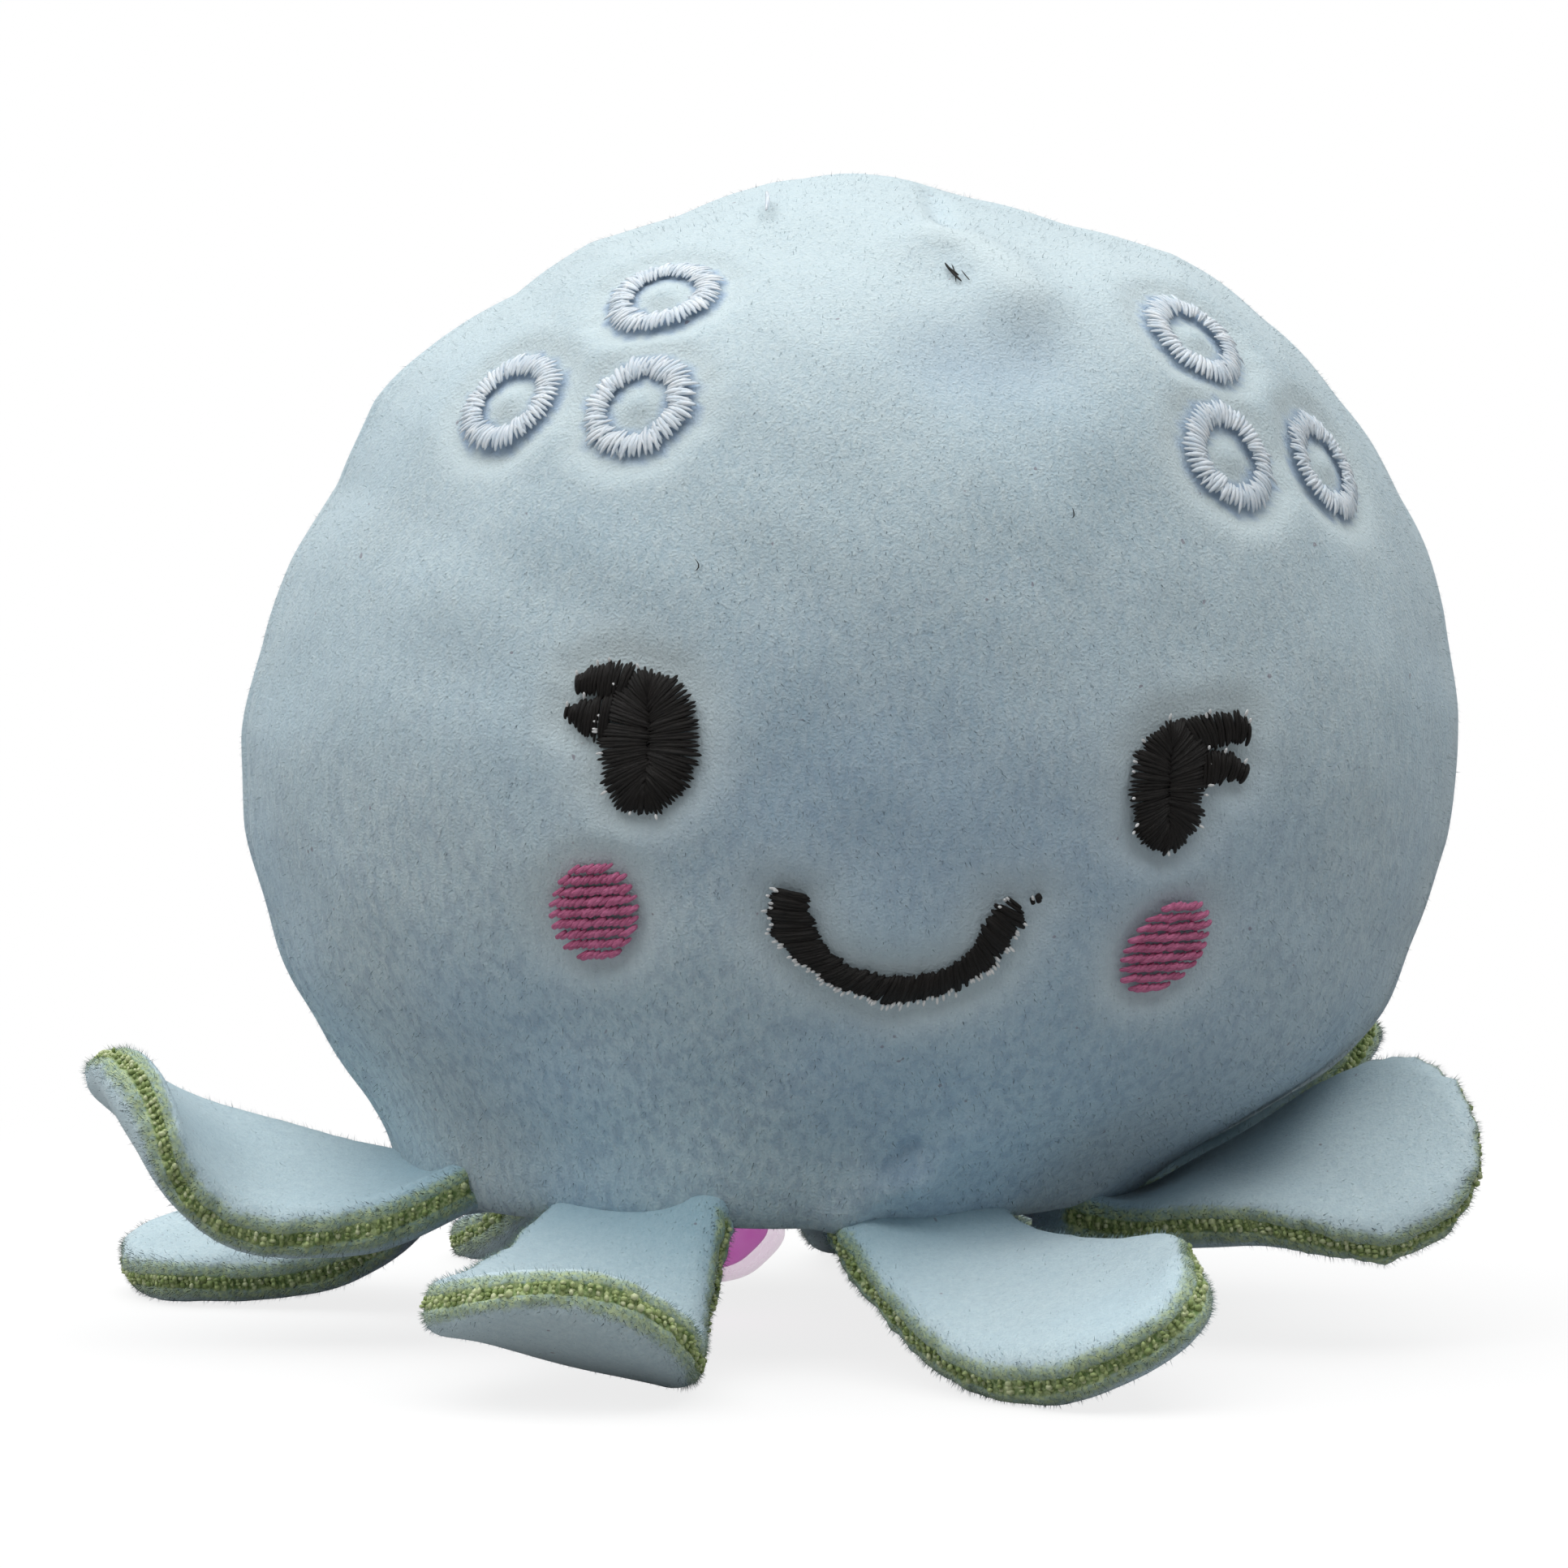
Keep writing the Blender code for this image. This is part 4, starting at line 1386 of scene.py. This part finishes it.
@dataclass
class Pile:
    """Short soft fibres that stand out of the plush."""

    name: str
    length: float
    width: float
    seed: int
    lean: float = 0.42
    spread: float = 0.35
    where: str = ""

    def template(self) -> bmesh.types.BMesh:
        """Makes one fibre: a three-sided spike along z from 0 to 1."""
        bm = bmesh.new()
        bmesh.ops.create_cone(bm, cap_ends=True, segments=3, radius1=1.0, radius2=0.0, depth=1.0)
        bmesh.ops.remove_doubles(bm, verts=bm.verts, dist=1e-4)
        bmesh.ops.translate(bm, verts=bm.verts, vec=(0.0, 0.0, 0.5))
        return bm

    def sample(self, surfaces: list[bpy.types.Object], count: int, rng: np.random.Generator) -> dict[str, np.ndarray]:
        """Spreads places evenly over the surfaces, away from the embroidery.

        Args:
            surfaces: The plush pieces.
            count: How many places.
            rng: The seeded draws.

        Returns:
            Each place with its normal, nearness to the embroidery and singeing.
        """
        groups = []
        for surface in surfaces:
            mesh = surface.data
            mesh.calc_loop_triangles()
            corners = np.empty(len(mesh.loop_triangles) * 3, np.int32)
            mesh.loop_triangles.foreach_get("vertices", corners)
            corners = corners.reshape(-1, 3)
            masks = [read(mesh, key) for key in ("near", "scorch", "clear", "beaded")]
            chance = read(mesh, self.where) if self.where else np.ones(len(mesh.vertices))
            data = np.column_stack((coordinates(mesh), vertex_normals(mesh), *masks, chance))
            groups.append(data[corners])
        triangles = np.concatenate(groups)
        edges = triangles[:, 1:, :3] - triangles[:, :1, :3]
        area = np.linalg.norm(np.cross(edges[:, 0], edges[:, 1]), axis=1)
        covered = clamp(triangles[:, :, 8:10].max(axis=2).mean(axis=1))
        weight = area * (1.0 - covered) * triangles[:, :, 10].mean(axis=1)
        total = np.cumsum(weight)
        chosen = np.searchsorted(total, (np.arange(count) + rng.uniform(0, 1, count)) / count * total[-1])
        chosen = np.minimum(chosen, len(triangles) - 1)
        r1, r2 = np.sqrt(rng.uniform(0, 1, count)), rng.uniform(0, 1, count)
        shares = np.stack((1 - r1, r1 * (1 - r2), r1 * r2), axis=1)
        found = np.einsum("ij,ijk->ik", shares, triangles[chosen])
        return {"place": found[:, :3], "normal": unit(found[:, 3:6]), "near": found[:, 6], "scorch": found[:, 7]}

    def grow(
        self,
        surfaces: list[bpy.types.Object],
        count: int,
        nap: Callable[[np.ndarray], np.ndarray],
        material: bpy.types.Material,
    ) -> bpy.types.Object:
        """Grows the fibres.

        Args:
            surfaces: The plush pieces.
            count: How many fibres.
            nap: Gives the direction that the pile is brushed in at each place.
            material: The fibres' finish.

        Returns:
            The piece.
        """
        rng = np.random.default_rng(self.seed)
        roots = self.sample(surfaces, count, rng)
        place, normal = roots["place"], roots["normal"]
        brushed = nap(place) + self.spread * rng.normal(size=(count, 3))
        brushed = unit(brushed - normal * np.sum(brushed * normal, axis=1, keepdims=True))
        rise = np.clip(self.lean + rng.normal(0.0, 0.16, count), 0.12, 1.2)[:, None]
        run = brushed * np.cos(rise) + normal * np.sin(rise)
        side = unit(np.cross(run, normal))
        over = np.cross(side, run)
        size = rng.uniform(0.7, 1.15, count) * (1.0 - 0.45 * roots["near"])
        long = (self.length * size)[:, None]
        wide = (self.width * rng.uniform(0.7, 1.2, count))[:, None]
        mesh, own = repeated(self.template(), count)
        per = len(own)
        places = np.empty((count, per, 3))
        for index, (x, y, z) in enumerate(own):
            start = place - normal * 0.10 * MM
            places[:, index] = start + side * (x * wide) + over * (y * wide * 0.25) + run * (z * long)
        places[:, :, 2] = np.maximum(places[:, :, 2], FLOOR_GAP)
        move_vertices(mesh, places.reshape(-1, 3))
        # Random tone for each fibre, with the root darker than the tip as painted shade.
        tone = clamp(0.5 + 0.20 * rng.normal(size=count))
        tip = own[:, 2] > 0.5
        store(mesh, "shade", (tone[:, None] * 0.75 + np.where(tip, 0.30, 0.0)[None, :]).ravel())
        store(mesh, "scorch", np.repeat(roots["scorch"], per))
        mesh.shade_smooth()
        tilt = unit(normal + 0.22 * rng.normal(size=(count, 3)))
        mesh.normals_split_custom_set_from_vertices(np.repeat(tilt, per, axis=0))
        piece = add_object(self.name, mesh, material)
        fix_piece(piece, Slot.PLUSH, ())
        return piece


@dataclass
class GelBulge:
    """The squeeze ball's pink gel where it pushes out of the base opening, and the film round it."""

    name: str
    base: Vector
    middle: float = -0.0043
    radius: float = 0.0043
    low: float = 0.0036
    high: float = 0.0095

    def build(self, material: bpy.types.Material, nodes: tuple[str, ...] = ()) -> bpy.types.Object:
        """Builds the bulge."""
        mesh = mesh_of(ball_of(48, 32), self.name)
        ball = coordinates(mesh)
        places = np.empty_like(ball)
        bend = 1.0 + 0.10 * waves(ball, 1.4, 5)
        places[:, 0] = self.base.x + self.middle + ball[:, 0] * self.radius * bend
        places[:, 1] = self.base.y + ball[:, 1] * self.radius * bend
        places[:, 2] = (self.low + self.high) / 2 + ball[:, 2] * (self.high - self.low) / 2
        move_vertices(mesh, places)
        return finish_piece(self.name, mesh, material, Slot.GEL, nodes)


@dataclass
class Studio:
    """The floor, the lamps and the world."""

    floor_shade: float = 0.35
    sky: float = 0.16

    def build(self) -> None:
        """Adds them."""
        self.add_floor()
        self.add_lamp("overhead", (-0.06, 0.0, 0.60), 1.1, 8.7)
        self.add_lamp("left", (-0.45, -0.15, 0.50), 0.7, 0.6)
        self.add_lamp("right", (0.50, -0.10, 0.16), 0.7, 0.35)
        world = bpy.data.worlds.new("studio")
        world.use_nodes = True
        nodes = Nodes(world.node_tree)
        back = nodes.tree.nodes["Background"]
        path = nodes.node("ShaderNodeLightPath").outputs
        seen = {0: path["Is Camera Ray"], 1: path["Is Transmission Ray"]}
        either = nodes.node("ShaderNodeMath", {"operation": "MAXIMUM"}, seen)
        shares = {0: either.outputs[0], 2: self.sky, 3: 1.0}
        nodes.feed(back.inputs["Strength"], nodes.node("ShaderNodeMix", {"data_type": "FLOAT"}, shares).outputs[0])
        nodes.feed(back.inputs["Color"], (1.0, 1.0, 1.0))
        bpy.context.scene.world = world

    def add_floor(self) -> None:
        """Adds a plain pale floor that keeps the toy's soft shadow."""
        bm = bmesh.new()
        bmesh.ops.create_grid(bm, x_segments=1, y_segments=1, size=3.0)
        mesh = mesh_of(bm, "floor")
        shader = Shader("floor")
        path = shader.node("ShaderNodeLightPath").outputs
        seen = Number(shader, path["Is Camera Ray"]) + Number(shader, path["Is Transmission Ray"])
        plain = shader.node("ShaderNodeBsdfDiffuse", {}, {"Color": seen * (0.9 - self.floor_shade) + self.floor_shade})
        glow = shader.node("ShaderNodeEmission", {}, {"Color": (1.0, 1.0, 1.0), "Strength": 1.0})
        reach = shader.node("ShaderNodeVectorMath", {"operation": "LENGTH"}, {0: shader.place()}).outputs["Value"]
        share = seen * (Number(shader, reach).ramp(0.05, 0.16) * 0.18 + 0.82)
        mixed = shader.node("ShaderNodeMixShader", {}, {0: share, 1: plain.outputs[0], 2: glow.outputs[0]})
        shader.feed(shader.output.inputs["Surface"], mixed.outputs[0])
        add_object("floor", mesh, shader.material)

    def add_lamp(self, name: str, place: tuple[float, float, float], size: float, power: float) -> None:
        """Adds one square soft lamp that points at the toy."""
        data = bpy.data.lights.new(name, "AREA")
        data.size = size
        data.energy = power
        lamp = bpy.data.objects.new(name, data)
        aim = Vector((0.0, 0.0, 0.04)) - Vector(place)
        lamp.matrix_world = Matrix.Translation(place) @ aim.to_track_quat("-Z", "Y").to_matrix().to_4x4()
        bpy.context.scene.collection.objects.link(lamp)


def downwards(places: np.ndarray) -> np.ndarray:
    """Gives the body's nap: brushed down, with slow swirls."""
    drift = 0.45 * waves(places, 30 * MM, 31)
    return np.stack((drift, np.zeros(len(places)), -np.ones(len(places))), axis=1)


def outwards(places: np.ndarray) -> np.ndarray:
    """Gives the legs' nap: brushed away from the body."""
    level = places * (1.0, 1.0, 0.0)
    return unit(level) + np.array((0.0, 0.0, -0.15))


def main() -> None:
    """Builds and dresses the toy."""
    logging.basicConfig(level=logging.INFO, format="%(message)s")
    bpy.context.scene.view_settings.view_transform = "Standard"
    lens = Lens()
    plush = PlushFinish().build()
    leg_colors = (0.45, 0.59, 0.65), (0.64, 0.76, 0.79), (0.44, 0.61, 0.70)
    # The legs' crease colour is painted shade near their roots.
    leg_plush = PlushFinish("leg_plush", *leg_colors, relief=0.00012, hollow_shade=(0.13, 0.34, 0.46)).build()
    fibres = FibreFinish().build()
    threads = {
        Slot.BLACK: ThreadFinish("black_thread", (0.002, 0.0018, 0.0017), (0.015, 0.0125, 0.011), 0.46, 0.28).build(),
        Slot.PINK: ThreadFinish("pink_thread", (0.36, 0.05, 0.14), (0.76, 0.23, 0.43)).build(),
        Slot.PALE: ThreadFinish("pale_thread", (0.55, 0.68, 0.80), (0.92, 0.95, 0.97)).build(),
    }
    cover = Cover()
    stitched = Embroidery(lens)
    body = cover.build(lens, stitched)
    body.data.materials.append(plush)
    fix_piece(body, Slot.PLUSH, ("front_panel", "back_panel", "base_panel"))
    for motif in MOTIFS:
        stitched.build_motif(motif, threads[motif.slot])
    stitched.build_nubs(ThreadFinish("clear_thread", (0.85, 0.87, 0.88), (0.97, 0.97, 0.97), 0.25, 1.0).build())
    for slot in (Slot.BLACK, Slot.PALE):
        build_loose_threads(cover, lens, threads[slot], slot)
    legs = []
    for index, pose in enumerate(LEG_POSES):
        angle = math.radians((index - 0.5) * 45.0 - 4.0)
        legs.append(Leg(pose, angle, cover.base, 50 + index).build(leg_plush))
    Pile("body_pile_a", 0.60 * MM, 0.030 * MM, 61, 0.34).grow([body], 32000, downwards, fibres)
    Pile("body_pile_b", 0.48 * MM, 0.026 * MM, 62, 0.80, 0.6).grow([body], 32000, downwards, fibres)
    Pile("leg_pile", 0.50 * MM, 0.028 * MM, 63, 0.40).grow(legs, 26000, outwards, fibres)
    Pile("leg_fringe", 0.60 * MM, 0.032 * MM, 64, 0.95, 0.5, "fringe").grow(legs, 30000, outwards, fibres)
    EdgeBeads().build(legs, BeadFinish().build())
    GelBulge("gel_bulge", cover.base).build(GelFinish().build(), ("squeeze_ball",))
    # The film also gets a faint painted glow.
    film = GelFinish("pink_film", (0.93, 0.66, 0.90), (0.96, 0.82, 0.95), (0.5, 0.3, 0.46), 0.32)
    GelBulge("gel_film", cover.base, -0.0040, 0.0051, 0.0027, 0.0097).build(film.build())
    Studio().build()
    lens.add_camera(cover.base)


if __name__ == "__main__":
    main()
